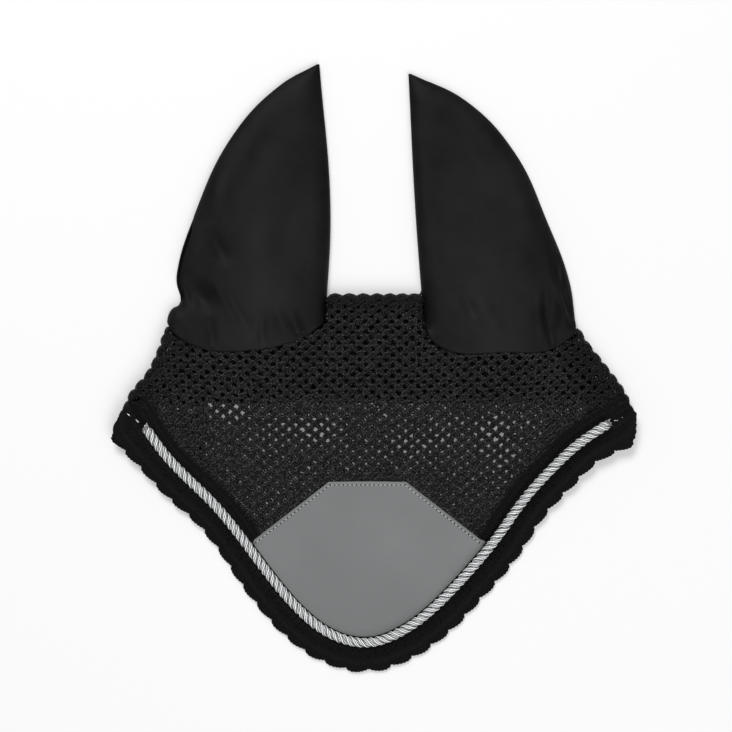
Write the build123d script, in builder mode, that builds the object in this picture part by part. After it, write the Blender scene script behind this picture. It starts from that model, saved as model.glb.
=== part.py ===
"""A crocheted fly veil for a horse, laid flat on a table with its face up.

X runs across the forehead, +Y points to the ear tips and +Z is up, so the
table is at Z 0. Two layers of crochet, joined by a fold round the top and the
sides, leave room for the poll between them. Two cloth ear covers open into
that room. Below the poll the face layer runs on alone, as a pointed brow that
slopes down to the table, with a scalloped edge, a sewn-on cord and a patch.
"""

from build123d import *
from math import atan2, degrees, dist, hypot, pi, radians, tan
import os

os.makedirs("parts", exist_ok=True)

# --- Driving dimensions, in millimetres -------------------------------------

crochet = 3.0  # thickness of one layer of crochet
head_room = 6.0  # room between the two layers
cloth = 1.2  # thickness of the ear covers' cloth
fold_gap = 0.3  # clear space where a layer bends, from one piece to the next

poll_fold_y = 51.5  # the folded edge between the ears
ear_fold_y = 32.0  # line at which the ears stand up
brow_fold_y = -25.0  # line at which the brow lifts, and the poll layer ends
table_y = -130.0  # from here down the brow lies on the table
veil_half_width = 185.0  # centre to either corner of the scalloped edge

ear_slope = 12.0  # width of the slope from an ear's rim up to its flat top
ear_edging_width = 4.0  # width of the sewn edging round an ear
ear_edging = 1.2  # thickness of that edging
ear_seam_width = 4.0  # width of the seam under an ear's foot

trim_width = 19.2  # cord's centre line to the outer edge of the trim
band_width = 12.0  # cord's centre line to the inner edge of the dense band
poll_edging_width = 8.0  # finished edge of the poll layer
poll_leg_inset = 68.0  # corner of the veil to the inner edge of a poll leg

cord_diameter = 7.0
cord_seat = 0.1  # clear space under the cord
cord_clearance = 0.4  # from the cord's side to the patch
tail_diameter = 1.6

patch_thickness = 1.2
patch_centre_x = -3.5
patch_top_y = -80.0  # the patch's straight top edge
patch_top_half_width = 27.0
patch_corner_y = -122.0  # its two side corners, which the cord covers
patch_corner_half_width = 81.0

stitch_inset = 3.8  # stitch line to the patch's edge
stitch_pitch = 3.3
stitch_length = 2.3
stitch_width = 0.7
stitch_height = 0.4

# --- Outlines, seen from above ----------------------------------------------

# Each ear: outer edge from its foot to the tip, inner edge from the tip back
# to the foot, and the curved seam below the fold that joins it to the crochet.
LEFT_EAR = {
    "outer": [(-144.4, ear_fold_y), (-137.5, 64), (-125.5, 105), (-98, 163.5), (-65, 198.3)],
    "tip": (-37.5, 213.3),
    "inner": [(-29.5, 112), (-33, ear_fold_y)],
    "foot": [(-131, 15.5), (-98, 11.5), (-49.5, 20.5)],
}
RIGHT_EAR = {
    "outer": [(142.5, ear_fold_y), (138.5, 60), (123, 102), (100, 151), (65.5, 187.5)],
    "tip": (25.5, 206.5),
    "inner": [(30, 112), (36, ear_fold_y)],
    "foot": [(134, 17), (96, 10.5), (44, 16.5)],
}

# The folded sides of the crochet, from the ears down to the scalloped edge.
LEFT_SIDE = [(-144.4, ear_fold_y), (-149.5, 15), (-158, -3), (-170, -18), (-176, -32)]
RIGHT_SIDE = [(142.5, ear_fold_y), (150, 19), (164, 1), (177, -17), (184, -33)]

# The cord's centre line, from its left end round the point to its right end.
CORD_ROUTE = [
    (-158.5, -41.5),
    (-148, -57.5),
    (-132.5, -74.5),
    (-105, -100.5),
    (-66, -154.5),
    (-43, -178.5),
    (-25, -189.5),
    (-5, -194),
    (14, -189),
    (37, -174.5),
    (61, -150.5),
    (86, -121.5),
    (105, -92.5),
    (127, -68.5),
    (146, -50.5),
    (165.5, -38.5),
]
LEFT_TAIL = (-171, -32.5)  # where the thin tails of the cord go through the edge
RIGHT_TAIL = (176, -34)

# The seam under the cord runs on to the folded sides at both ends.
SEAM_LINE = [(-168, -26)] + CORD_ROUTE + [(181, -30)]
LEFT_CORNER = (-veil_half_width, -47)
RIGHT_CORNER = (veil_half_width, -53)

# --- Values worked out from them --------------------------------------------

face_z = crochet + head_room  # underside of the upper layer
top_z = face_z + crochet
ear_rim_z = cloth + ear_edging
poll_leg_x = veil_half_width - poll_leg_inset
half_gap = fold_gap / 2
reach = 3 * veil_half_width  # longer than the veil in every direction

# --- Helpers ----------------------------------------------------------------


def beside(line, distance):
    """The points of a line moved sideways, to its left where distance is positive."""
    moved = []
    for i, (x, y) in enumerate(line):
        x0, y0 = line[max(i - 1, 0)]
        x1, y1 = line[min(i + 1, len(line) - 1)]
        length = hypot(x1 - x0, y1 - y0)
        moved.append((x - distance * (y1 - y0) / length, y + distance * (x1 - x0) / length))
    return moved


def brow_height(y):
    """Height of the brow's underside above the table."""
    return max(0.0, face_z * (y - table_y) / (brow_fold_y - table_y))


def on_brow(point, height):
    """A point at a height above the face of the brow."""
    x, y = point
    return (x, y, brow_height(y) + crochet + height)


def above(y):
    """All that lies above a line across the veil."""
    with BuildSketch() as half:
        with Locations((0, y + reach)):
            Rectangle(2 * reach, 2 * reach)
    return half.sketch


def below(y):
    """All that lies below a line across the veil."""
    with BuildSketch() as half:
        with Locations((0, y - reach)):
            Rectangle(2 * reach, 2 * reach)
    return half.sketch


def strip(line, low, high):
    """The strip between two distances to the left of a line."""
    with BuildSketch() as between:
        with BuildLine():
            near = Spline(*beside(line, low))
            far = Spline(*beside(line, high))
            Line(near @ 0, far @ 0)
            Line(near @ 1, far @ 1)
        make_face()
    return between.sketch


def inside_cord(distance):
    """All that lies further inside the cord's centre line than a distance."""
    with BuildSketch() as inside:
        with BuildLine():
            edge = Spline(*beside(SEAM_LINE, distance))
            Polyline(edge @ 1, ((edge @ 1).X, 0), ((edge @ 0).X, 0), edge @ 0)
        make_face()
    return inside.sketch


def brow_layer(under, over):
    """The layer between two heights above the brow's underside."""
    fold_y = brow_fold_y - half_gap
    at_fold = brow_height(fold_y)
    with BuildPart() as layer:
        with BuildSketch(Plane.YZ.offset(-reach)):
            with BuildLine():
                Polyline(
                    (-reach, under),
                    (table_y, under),
                    (fold_y, at_fold + under),
                    (fold_y, at_fold + over),
                    (table_y, over),
                    (-reach, over),
                    close=True,
                )
            make_face()
        extrude(amount=2 * reach)
    return layer.part


def ear_outline(ear, inset, start_y):
    """An ear above start_y, drawn in from its edges towards its middle by inset."""
    outer_x = ear["outer"][0][0]
    inner_x = ear["inner"][-1][0]
    middle = (outer_x + inner_x) / 2
    narrow = 1 - inset / abs(outer_x - middle)
    shorten = 1 - inset / (ear["tip"][1] - ear_fold_y)

    def drawn_in(points):
        return [(middle + (x - middle) * narrow, start_y + (y - ear_fold_y) * shorten) for x, y in points]

    with BuildSketch() as outline:
        with BuildLine():
            outer = Spline(*drawn_in(ear["outer"] + [ear["tip"]]))
            inner = Spline(*drawn_in([ear["tip"]] + ear["inner"]))
            Line(inner @ 1, outer @ 0)
        make_face()
    return outline.sketch


def foot_line(ear):
    """The curved seam of an ear's foot, from its outer end to its inner end."""
    return [ear["outer"][0]] + ear["foot"] + [ear["inner"][-1]]


def ear_foot(ear):
    """The part of an ear that is sewn into the crochet, below its fold."""
    with BuildSketch() as foot:
        with BuildLine():
            seam = Spline(*foot_line(ear))
            Line(seam @ 1, seam @ 0)
        make_face()
    return foot.sketch


# --- The two layers of crochet ----------------------------------------------

with BuildSketch() as ear_cut:
    for ear in (LEFT_EAR, RIGHT_EAR):
        add(ear_foot(ear))
        add(ear_outline(ear, -fold_gap, ear_fold_y))


def veil_outline(inset):
    """The crochet round the ears and down to the brow, drawn in from its folds."""
    left_x = LEFT_EAR["inner"][-1][0] + inset
    right_x = RIGHT_EAR["inner"][-1][0] - inset
    with BuildSketch() as outline:
        with BuildLine():
            left_side = Spline(*beside(LEFT_SIDE, inset))
            right_side = Spline(*beside(RIGHT_SIDE, -inset))
            Polyline(
                left_side @ 0,
                (left_x, ear_fold_y - inset),
                (left_x, poll_fold_y - inset),
                (right_x, poll_fold_y - inset),
                (right_x, ear_fold_y - inset),
                right_side @ 0,
            )
            Line(left_side @ 1, right_side @ 1)
        make_face()
        add(ear_cut.sketch, mode=Mode.SUBTRACT)
        add(above(brow_fold_y + half_gap), mode=Mode.INTERSECT)
    return outline.sketch


with BuildPart() as front_panel:
    with BuildSketch():
        add(veil_outline(0))
    extrude(amount=top_z)
    with BuildSketch():
        add(veil_outline(crochet))
    extrude(amount=face_z, mode=Mode.SUBTRACT)

with BuildSketch() as poll_edge:
    with Locations((0, brow_fold_y)):
        Rectangle(2 * poll_leg_x, 2 * poll_edging_width)
    add(above(brow_fold_y + half_gap), mode=Mode.INTERSECT)

with BuildPart() as poll_edging:
    with BuildSketch():
        add(poll_edge.sketch)
    extrude(amount=crochet)

with BuildPart() as poll_panel:
    with BuildSketch():
        add(veil_outline(crochet))
        add(poll_edge.sketch, mode=Mode.SUBTRACT)
    extrude(amount=crochet)


def poll_tip(side):
    """The leg of the poll layer that reaches down behind one side of the brow."""
    with BuildPart() as tip:
        with BuildSketch():
            add(inside_cord(0))
            add(below(brow_fold_y - half_gap), mode=Mode.INTERSECT)
            with Locations((side * (poll_leg_x + reach), 0)):
                Rectangle(2 * reach, 2 * reach, mode=Mode.INTERSECT)
        extrude(amount=crochet)
    return tip.part


# --- The ears: a collar that stays and a cover that folds at its foot ---------


def ear_collar(ear):
    """The cloth below the fold: a sheet in the face and one in the poll layer."""
    with BuildPart() as collar:
        for level in (0, top_z - cloth):
            with BuildSketch(Plane.XY.offset(level)):
                add(ear_foot(ear))
                add(below(ear_fold_y - half_gap), mode=Mode.INTERSECT)
            extrude(amount=cloth)
    return collar.part


def ear_seam(ear, inward):
    """The seam under the collar, along the edge of the crochet."""
    with BuildPart() as seam:
        with BuildSketch(Plane.XY.offset(face_z)):
            add(strip(foot_line(ear), 0, inward))
            add(below(ear_fold_y - half_gap), mode=Mode.INTERSECT)
        extrude(amount=crochet - cloth)
    return seam.part


def ear_back(ear):
    """The lower sheet of the cover, flat on the table."""
    with BuildPart() as back:
        with BuildSketch():
            add(ear_outline(ear, 0, ear_fold_y + half_gap))
        extrude(amount=cloth)
    return back.part


def ear_rim(ear):
    """The edging that joins the two sheets, open at the foot."""
    with BuildPart() as rim:
        with BuildSketch(Plane.XY.offset(cloth)):
            add(ear_outline(ear, 0, ear_fold_y + half_gap))
            add(ear_outline(ear, ear_edging_width, ear_fold_y - ear_edging_width), mode=Mode.SUBTRACT)
        extrude(amount=ear_edging)
    return rim.part


def ear_front(ear):
    """The upper sheet of the cover, domed, and open at the foot."""
    wall = 1.5 * cloth
    inner_z = top_z - cloth
    slope_at_inner = ear_slope * (inner_z - ear_rim_z) / (top_z - ear_rim_z)
    with BuildPart() as front:
        with BuildSketch(Plane.XY.offset(ear_rim_z)):
            add(ear_outline(ear, 0, ear_fold_y + half_gap))
        with BuildSketch(Plane.XY.offset(top_z)):
            add(ear_outline(ear, ear_slope, ear_fold_y + half_gap))
        loft()
        with BuildSketch(Plane.XY.offset(ear_rim_z)):
            add(ear_outline(ear, wall, ear_fold_y - wall))
        with BuildSketch(Plane.XY.offset(inner_z)):
            add(ear_outline(ear, slope_at_inner + wall, ear_fold_y - wall))
        loft(mode=Mode.SUBTRACT)
    return front.part


# --- The brow: crochet, dense band and scalloped trim ------------------------

with BuildPart() as brow_panel:
    with BuildSketch():
        add(inside_cord(band_width))
    extrude(amount=reach)
    add(brow_layer(0, crochet), mode=Mode.INTERSECT)

with BuildPart() as trim_band:
    with BuildSketch():
        add(strip(SEAM_LINE, 0, band_width))
    extrude(amount=reach)
    add(brow_layer(0, crochet), mode=Mode.INTERSECT)

with BuildPart() as edge_trim:
    with BuildSketch():
        with BuildLine():
            seam = Spline(*SEAM_LINE)
            shells = Spline(*beside(SEAM_LINE, -trim_width)[2:-2])
            Polyline(seam @ 0, LEFT_SIDE[-1], LEFT_CORNER, shells @ 0)
            Polyline(seam @ 1, RIGHT_SIDE[-1], RIGHT_CORNER, shells @ 1)
        make_face()
    extrude(amount=reach)
    add(brow_layer(0, crochet), mode=Mode.INTERSECT)

# --- The cord, sewn down along the seam --------------------------------------

cord_height = cord_diameter / 2 + cord_seat
cord_points = [on_brow(point, cord_height) for point in CORD_ROUTE]


def bend_radii(points):
    """For each bend, the largest arc that 0.45 of the shorter run beside it allows."""
    radii = []
    for before, corner, after in zip(points, points[1:], points[2:]):
        turn = (Vector(*corner) - Vector(*before)).get_angle(Vector(*after) - Vector(*corner))
        run = min(dist(before, corner), dist(corner, after))
        radii.append(0.45 * run / tan(radians(turn) / 2))
    return radii


cord_radii = bend_radii(cord_points)
with BuildPart() as silver_cord:
    with BuildLine() as cord_line:
        FilletPolyline(*cord_points, radius=cord_radii)
    with BuildSketch(Plane(origin=cord_line.line @ 0, z_dir=cord_line.line % 0)):
        Circle(cord_diameter / 2)
    sweep()

with BuildPart() as cord_tails:
    for end, before, tail in ((0, 1, LEFT_TAIL), (-1, -2, RIGHT_TAIL)):
        cord_end = Vector(*CORD_ROUTE[end])
        onward = (cord_end - Vector(*CORD_ROUTE[before])).normalized()
        start = cord_end + onward * tail_diameter
        height = tail_diameter / 2 + cord_seat
        with BuildLine() as tail_line:
            Line(on_brow((start.X, start.Y), height), on_brow(tail, height))
        with BuildSketch(Plane(origin=tail_line.line @ 0, z_dir=tail_line.line % 0)):
            Circle(tail_diameter / 2)
        sweep(path=tail_line.line)

# --- The patch and its stitching ---------------------------------------------

patch_edge = [
    (patch_centre_x - patch_corner_half_width, patch_corner_y),
    (patch_centre_x - patch_top_half_width, patch_top_y),
    (patch_centre_x + patch_top_half_width, patch_top_y),
    (patch_centre_x + patch_corner_half_width, patch_corner_y),
]

patch_face = crochet + patch_thickness

with BuildPart() as brow_patch:
    with BuildSketch():
        with BuildLine():
            edge = Polyline(*patch_edge)
            Polyline(edge @ 1, ((edge @ 1).X, -reach), ((edge @ 0).X, -reach), edge @ 0)
        make_face()
        add(inside_cord(cord_diameter / 2 + cord_clearance), mode=Mode.INTERSECT)
    extrude(amount=reach)
    add(brow_layer(crochet, patch_face), mode=Mode.INTERSECT)

with BuildPart() as patch_stitching:
    with BuildSketch():
        sewn_line = beside(patch_edge, -stitch_inset)
        for (x0, y0), (x1, y1) in zip(sewn_line, sewn_line[1:]):
            heading = degrees(atan2(y1 - y0, x1 - x0))
            count = int(hypot(x1 - x0, y1 - y0) / stitch_pitch)
            for i in range(count):
                share = (i + 0.5) / count
                place = (x0 + (x1 - x0) * share, y0 + (y1 - y0) * share, 0)
                with Locations(Location(place, (0, 0, heading))):
                    Rectangle(stitch_length, stitch_width)
    extrude(amount=reach)
    add(brow_layer(patch_face, patch_face + stitch_height), mode=Mode.INTERSECT)

# --- Labels and files ----------------------------------------------------------

PIECES = {
    "front_panel": front_panel.part,
    "poll_panel": poll_panel.part,
    "poll_edging": poll_edging.part,
    "left_poll_tip": poll_tip(-1),
    "right_poll_tip": poll_tip(1),
    "left_ear_collar": ear_collar(LEFT_EAR),
    "right_ear_collar": ear_collar(RIGHT_EAR),
    "left_ear_seam": ear_seam(LEFT_EAR, ear_seam_width),
    "right_ear_seam": ear_seam(RIGHT_EAR, -ear_seam_width),
    "left_ear_back": ear_back(LEFT_EAR),
    "right_ear_back": ear_back(RIGHT_EAR),
    "left_ear_edging": ear_rim(LEFT_EAR),
    "right_ear_edging": ear_rim(RIGHT_EAR),
    "left_ear_front": ear_front(LEFT_EAR),
    "right_ear_front": ear_front(RIGHT_EAR),
    "brow_panel": brow_panel.part,
    "trim_band": trim_band.part,
    "edge_trim": edge_trim.part,
    "silver_cord": silver_cord.part,
    "cord_tails": cord_tails.part,
    "brow_patch": brow_patch.part,
    "patch_stitching": patch_stitching.part,
}

for node, piece in PIECES.items():
    piece.label = node
    export_step(piece, f"parts/{node}.step")

cord_length = sum(edge.length for edge in cord_line.edges())
expected = pi * (cord_diameter / 2) ** 2 * cord_length
print("cord length", round(cord_length, 1), "volume share", round(silver_cord.part.volume / expected, 4))
print("cord radii", [round(r, 1) for r in cord_radii])
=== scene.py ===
"""A crocheted fly veil for a horse, laid flat on a table with its face up.

X runs across the forehead, +Y points to the ear tips and +Z is up. The veil has
a face and a poll layer of crochet, two cloth ear covers, a pointed brow with a
scalloped edge, a twisted cord sewn down beside the edge and a leather patch.
"""

from math import ceil, cos, hypot, pi, sin
from random import Random

import bmesh
import bpy
import numpy as np
from bpy.props import FloatProperty, FloatVectorProperty, IntProperty, PointerProperty
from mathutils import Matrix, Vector, noise


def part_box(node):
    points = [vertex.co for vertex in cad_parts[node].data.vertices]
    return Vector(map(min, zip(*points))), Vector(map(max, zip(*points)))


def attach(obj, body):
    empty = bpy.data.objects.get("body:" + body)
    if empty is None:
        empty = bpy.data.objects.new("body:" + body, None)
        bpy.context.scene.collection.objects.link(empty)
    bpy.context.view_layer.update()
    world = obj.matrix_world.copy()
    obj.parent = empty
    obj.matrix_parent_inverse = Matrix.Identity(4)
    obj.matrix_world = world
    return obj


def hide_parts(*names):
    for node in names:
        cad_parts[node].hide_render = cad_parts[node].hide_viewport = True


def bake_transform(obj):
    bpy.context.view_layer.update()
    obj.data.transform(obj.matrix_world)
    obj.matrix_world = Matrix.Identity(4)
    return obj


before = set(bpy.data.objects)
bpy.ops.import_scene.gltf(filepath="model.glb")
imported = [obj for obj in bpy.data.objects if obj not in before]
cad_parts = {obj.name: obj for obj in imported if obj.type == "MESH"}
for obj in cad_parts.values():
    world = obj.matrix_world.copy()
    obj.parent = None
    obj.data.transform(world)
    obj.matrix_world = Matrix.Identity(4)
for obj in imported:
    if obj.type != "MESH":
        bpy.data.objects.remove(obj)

bl_info = {
    "name": "Crocheted Fly Veil",
    "version": (1, 0, 0),
    "blender": (4, 5, 0),
    "location": "View3D > Sidebar > Fly Veil",
    "description": "Builds a crocheted fly veil with cloth ears, a twisted cord and a leather patch",
    "category": "Add Mesh",
}

MM = 0.001

# --- Heights and fold lines, read from the frame -----------------------------

TOP_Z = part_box("front_panel")[1].z
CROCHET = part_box("poll_panel")[1].z
FACE_Z = TOP_Z - CROCHET
POLL_FOLD_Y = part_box("front_panel")[1].y
EAR_FOLD_Y = (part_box("left_ear_front")[0].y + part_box("left_ear_collar")[1].y) / 2
BROW_FOLD_Y = (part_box("front_panel")[0].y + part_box("brow_panel")[1].y) / 2
TABLE_Y = -130 * MM  # from here down the brow lies on the table
POLL_LEG_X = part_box("poll_edging")[1].x
POLL_EDGE_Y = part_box("poll_edging")[1].y
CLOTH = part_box("left_ear_back")[1].z
RIM_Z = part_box("left_ear_edging")[1].z
CLOTH_SHEET = CLOTH * 0.85  # thickness of one sheet of an ear cover
CORD_RADIUS = 3.5 * MM
CORD_LIFT = 3.6 * MM  # cord's centre above the crochet it is sewn to
BAND_WIDTH = 12 * MM
TRIM_WIDTH = 19.2 * MM
LEATHER = 1.02 * MM  # thickness of the patch
YARN_MID = CROCHET / 2
FOLD_RADIUS = FACE_Z / 2
FOLD_DEPTH = FOLD_RADIUS + YARN_MID + 0.7 * MM  # how far from the edge the net begins to turn
FOLD_MARGIN = 6 * MM  # how far the brow's fold reaches to either side
CORNER_X = 150 * MM  # beyond this the side's fold runs on past the brow's fold
CORNER_DROP = 9 * MM  # how far it runs on
LOWEST_YARN = 0.82 * MM  # height of the lowest yarn's middle above the table
FIRST_ROW_Y = 74 * MM
LAST_ROW_Y = -196 * MM
NET_REACH = 200 * MM  # how far the rows of net run to either side
FACE_SEED = 11
POLL_SEED = 47
DRIFT_SEED = 400  # what is added to either for the drift of the knots
LEVEL_MIDDLE = 0.4 * MM  # how far the darkest yarns lie below the middle of the net
POLL_LEVEL = 1.3 * MM  # the level that gives the poll layer's yarns their full tone
LINE_STEPS = 10  # steps of a smooth line from one of its given points to the next
BATCH = 4000  # how many points are measured against an outline at once

# --- Radii and lays of the yarns, threads and cords ---------------------------

FOLD_LUMP = 9.2 * MM  # length of one lump of stitches along a folded edge
FOLD_LAY = 5.2 * MM
POLL_LAY = 4.6 * MM
BAND_LAY = 4.2 * MM
EDGE_LAY = 4.0 * MM
BAND_YARN = 0.74 * MM
BAND_CHAIN = 0.5 * MM
EDGE_YARN = 0.84 * MM
EDGE_CHAIN = 0.6 * MM
PADDING_CORD = 1.1 * MM
FILLING_CORD = 0.8 * MM
PADDING_DROP = 0.35 * MM  # how far the padding lies below the middle of the crochet
RIM_ROLL = 0.85 * MM
SEAM_ROLL = 0.8 * MM
STRAND_RADIUS = CORD_RADIUS * 0.48
PLY_RADIUS = STRAND_RADIUS * 0.36
TAIL_THREAD = 0.22 * MM
STITCH_THREAD = 0.36 * MM
STITCH_REACH = 0.95 * MM  # half the length of a stitch on the patch
HOLE_SHADOW = 0.7 * MM

# --- Outlines, in millimetres -------------------------------------------------

FOLD_MM = EAR_FOLD_Y / MM
LEFT_EAR = {
    "outer": [
        (-144.4, FOLD_MM),
        (-143.3, 37.2),
        (-140.2, 41.8),
        (-135.9, 44),
        (-134.9, 48),
        (-137.6, 58.5),
        (-137.6, 66),
        (-126, 105),
        (-98, 163.5),
        (-65, 198.3),
    ],
    "tip": (-37.5, 213.3),
    "inner": [(-29.5, 112), (-33, FOLD_MM)],
    "foot": [(-138.5, 23.5), (-129.5, 17.2), (-118, 12.6), (-88, 11.8), (-49.5, 20.5)],
}
RIGHT_EAR = {
    "outer": [(142.5, FOLD_MM), (138.5, 60), (123, 102), (100, 151), (65.5, 187.5)],
    "tip": (25.5, 206.5),
    "inner": [(30, 112), (36, FOLD_MM)],
    "foot": [(141.4, 24.5), (135.5, 19), (125, 12.6), (96, 10.5), (44, 16.5)],
}
LEFT_SIDE = [(-144.4, FOLD_MM), (-149.5, 15), (-158, -3), (-170, -18), (-176, -32)]
RIGHT_SIDE = [(142.5, FOLD_MM), (150, 19), (164, 1), (177, -17), (184, -33)]
CORD_ROUTE = [
    (-158.5, -41.5),
    (-148, -57.5),
    (-132.5, -74.5),
    (-105, -100.5),
    (-66, -154.5),
    (-43, -178.5),
    (-25, -189.5),
    (-5, -194),
    (14, -189),
    (37, -174.5),
    (61, -150.5),
    (86, -121.5),
    (105, -92.5),
    (127, -68.5),
    (146, -50.5),
    (165.5, -38.5),
]
LEFT_TAIL = (-171, -32.5)
RIGHT_TAIL = (176, -34)
SEAM_LINE = [(-168, -26)] + CORD_ROUTE + [(181, -30)]
LEFT_CORNER = (-185, -47)
RIGHT_CORNER = (185, -53)
PATCH_TOP_Y = -80
PATCH_TOP = (-30.5, 23.5)
PATCH_CORNER_Y = -122
PATCH_CORNER = (-84.5, 77.5)
# where the brow's net is pulled open: the middle of each place, then its width and height
STRETCHED = [(-98, -31, 12, 7), (-48, -44, 30, 9), (30, -50, 26, 12), (89, -56, 13, 30)]

# --- Lines --------------------------------------------------------------------


def beside(line, distance):
    """The points of a line moved sideways, to its left where distance is positive."""
    moved = []
    for i, (x, y) in enumerate(line):
        x0, y0 = line[max(i - 1, 0)]
        x1, y1 = line[min(i + 1, len(line) - 1)]
        length = hypot(x1 - x0, y1 - y0)
        moved.append((x - distance * (y1 - y0) / length, y + distance * (x1 - x0) / length))
    return moved


def mesh_of(curve):
    """The mesh that a curve makes, in place of the curve."""
    holder = bpy.data.objects.new("line", curve)
    mesh = bpy.data.meshes.new_from_object(holder)
    bpy.data.objects.remove(holder)
    bpy.data.curves.remove(curve)
    return mesh


def read_curve(curve):
    """The points of a curve that has no thickness, in order."""
    mesh = mesh_of(curve)
    points = np.array([v.co for v in mesh.vertices])
    bpy.data.meshes.remove(mesh)
    return points


def smooth_line(points):
    """Points in metres along a smooth line through the given ones in millimetres."""
    curve = bpy.data.curves.new("line", "CURVE")
    curve.dimensions = "3D"
    curve.resolution_u = LINE_STEPS
    spline = curve.splines.new("BEZIER")
    spline.bezier_points.add(len(points) - 1)
    for knot, point in zip(spline.bezier_points, points):
        knot.co = Vector((point[0] * MM, point[1] * MM, 0))
        knot.handle_left_type = "AUTO"
        knot.handle_right_type = "AUTO"
    return read_curve(curve)[:, :2]


def straight_line(*points):
    """Corner points in metres from points in millimetres."""
    return np.array(points, float) * MM


def lengths_along(points):
    """The distance along a line at each of its points."""
    steps = np.linalg.norm(np.diff(points, axis=0), axis=1)
    return np.concatenate([[0], np.cumsum(steps)])


def at_length(points, distances):
    """The places on a line at the given distances along it."""
    along = lengths_along(points)
    return np.stack([np.interp(distances, along, points[:, k]) for k in range(points.shape[1])], axis=1)


def spaced(points, count):
    """Evenly spaced places along a line."""
    return at_length(points, np.linspace(0, lengths_along(points)[-1], count))


def directions(line):
    """The direction of travel at each point of a line."""
    ahead = np.gradient(line, axis=0)
    return ahead / np.maximum(np.linalg.norm(ahead, axis=1), 1e-12)[:, None]


def leftward(line):
    """The direction to the left of a flat line at each of its points."""
    ahead = directions(line)
    return np.stack([-ahead[:, 1], ahead[:, 0]], axis=1)


def raised(flat, height):
    """Flat places given a height."""
    return np.column_stack([flat, np.full(len(flat), height)])


def unevenness(places, x_scale, y_scale, seed):
    """Smooth noise from -1 to 1 at each of an array of flat places."""
    values = [noise.noise(Vector((x * x_scale, y * y_scale, seed))) for x, y in places.reshape(-1, 2)]
    return np.reshape(values, places.shape[:-1])


def depth_inside(points, outline):
    """How far inside a closed outline points lie, the way inward and the outline's nearest places."""
    step = np.roll(outline, -1, axis=0) - outline
    size = np.maximum((step**2).sum(1), 1e-18)
    depth = np.zeros(len(points))
    inward = np.zeros((len(points), 2))
    nearest = np.zeros((len(points), 2))
    for first in range(0, len(points), BATCH):
        batch = slice(first, first + BATCH)
        p = points[batch]
        gap = p[:, None, :] - outline[None]
        t = np.clip((gap * step[None]).sum(2) / size[None], 0, 1)
        near = outline[None] + t[:, :, None] * step[None]
        away = p[:, None, :] - near
        apart = np.sqrt((away**2).sum(2))
        best = apart.argmin(1)
        row = np.arange(len(p))
        ahead_y = (outline + step)[None, :, 1]
        crossing = (outline[None, :, 1] > p[:, None, 1]) != (ahead_y > p[:, None, 1])
        rise = np.where(np.abs(step[:, 1]) < 1e-12, 1e-12, step[:, 1])
        at_x = outline[None, :, 0] + (p[:, None, 1] - outline[None, :, 1]) * step[None, :, 0] / rise[None]
        inside = (crossing & (p[:, None, 0] < at_x)).sum(1) % 2 == 1
        sign = np.where(inside, 1.0, -1.0)
        found = apart[row, best]
        normal = np.stack([-step[best, 1], step[best, 0]], axis=1)
        normal /= np.sqrt(size[best])[:, None]
        direct = away[row, best] * (sign / np.maximum(found, 1e-9))[:, None]
        depth[batch] = found * sign
        inward[batch] = np.where((found > 1e-5)[:, None], direct, normal)
        nearest[batch] = near[row, best]
    return depth, inward, nearest


SEAM_RAIL = smooth_line(SEAM_LINE)
BAND_RAIL = smooth_line(beside(SEAM_LINE, BAND_WIDTH / MM))
OUTER_RAIL = np.concatenate(
    [
        spaced(straight_line(LEFT_SIDE[-1], LEFT_CORNER), 11)[:-1],
        smooth_line([LEFT_CORNER] + beside(SEAM_LINE, -TRIM_WIDTH / MM)[2:-2] + [RIGHT_CORNER]),
        spaced(straight_line(RIGHT_CORNER, RIGHT_SIDE[-1]), 11)[1:],
    ]
)


def foot_line(ear):
    """The curved seam of an ear's foot, from its outer end to its inner end."""
    return smooth_line([ear["outer"][0]] + ear["foot"] + [ear["inner"][-1]])


def veil_outline():
    """The crochet round the ears, anticlockwise, and for each point how far the net runs on past it."""
    wrap = 6.5 * MM
    tuck = 2.4 * MM
    left_x = LEFT_EAR["inner"][-1][0]
    right_x = RIGHT_EAR["inner"][-1][0]
    top_y = POLL_FOLD_Y / MM
    runs = [
        (smooth_line(RIGHT_SIDE)[::-1], wrap),
        (foot_line(RIGHT_EAR)[1:], tuck),
        (straight_line((right_x, top_y - 3)), tuck),
        (straight_line((right_x - 3, top_y), (left_x + 3, top_y)), wrap),
        (straight_line((left_x, top_y - 3)), tuck),
        (foot_line(LEFT_EAR)[::-1], tuck),
        (smooth_line(LEFT_SIDE)[1:], wrap),
    ]
    points = np.concatenate([run for run, _ in runs])
    past = np.concatenate([np.full(len(run), extra) for run, extra in runs])
    return points, past


def closed_above(rail, top_y):
    """The outline of what lies between a rail and a level line above it."""
    return np.concatenate([rail, [[rail[-1, 0], top_y], [rail[0, 0], top_y]]])


VEIL_OUTLINE, VEIL_PAST = veil_outline()
BAND_SIDE = closed_above(BAND_RAIL, 2 * POLL_FOLD_Y)
BROW_OUTLINE = closed_above(BAND_RAIL, BROW_FOLD_Y)
TIP_OUTLINE = closed_above(SEAM_RAIL, BROW_FOLD_Y)


def brow_height(y):
    """Height of the brow's underside above the table."""
    return np.maximum(0, FACE_Z * (y - TABLE_Y) / (BROW_FOLD_Y - TABLE_Y))


# --- Laying yarn on the two layers --------------------------------------------


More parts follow.
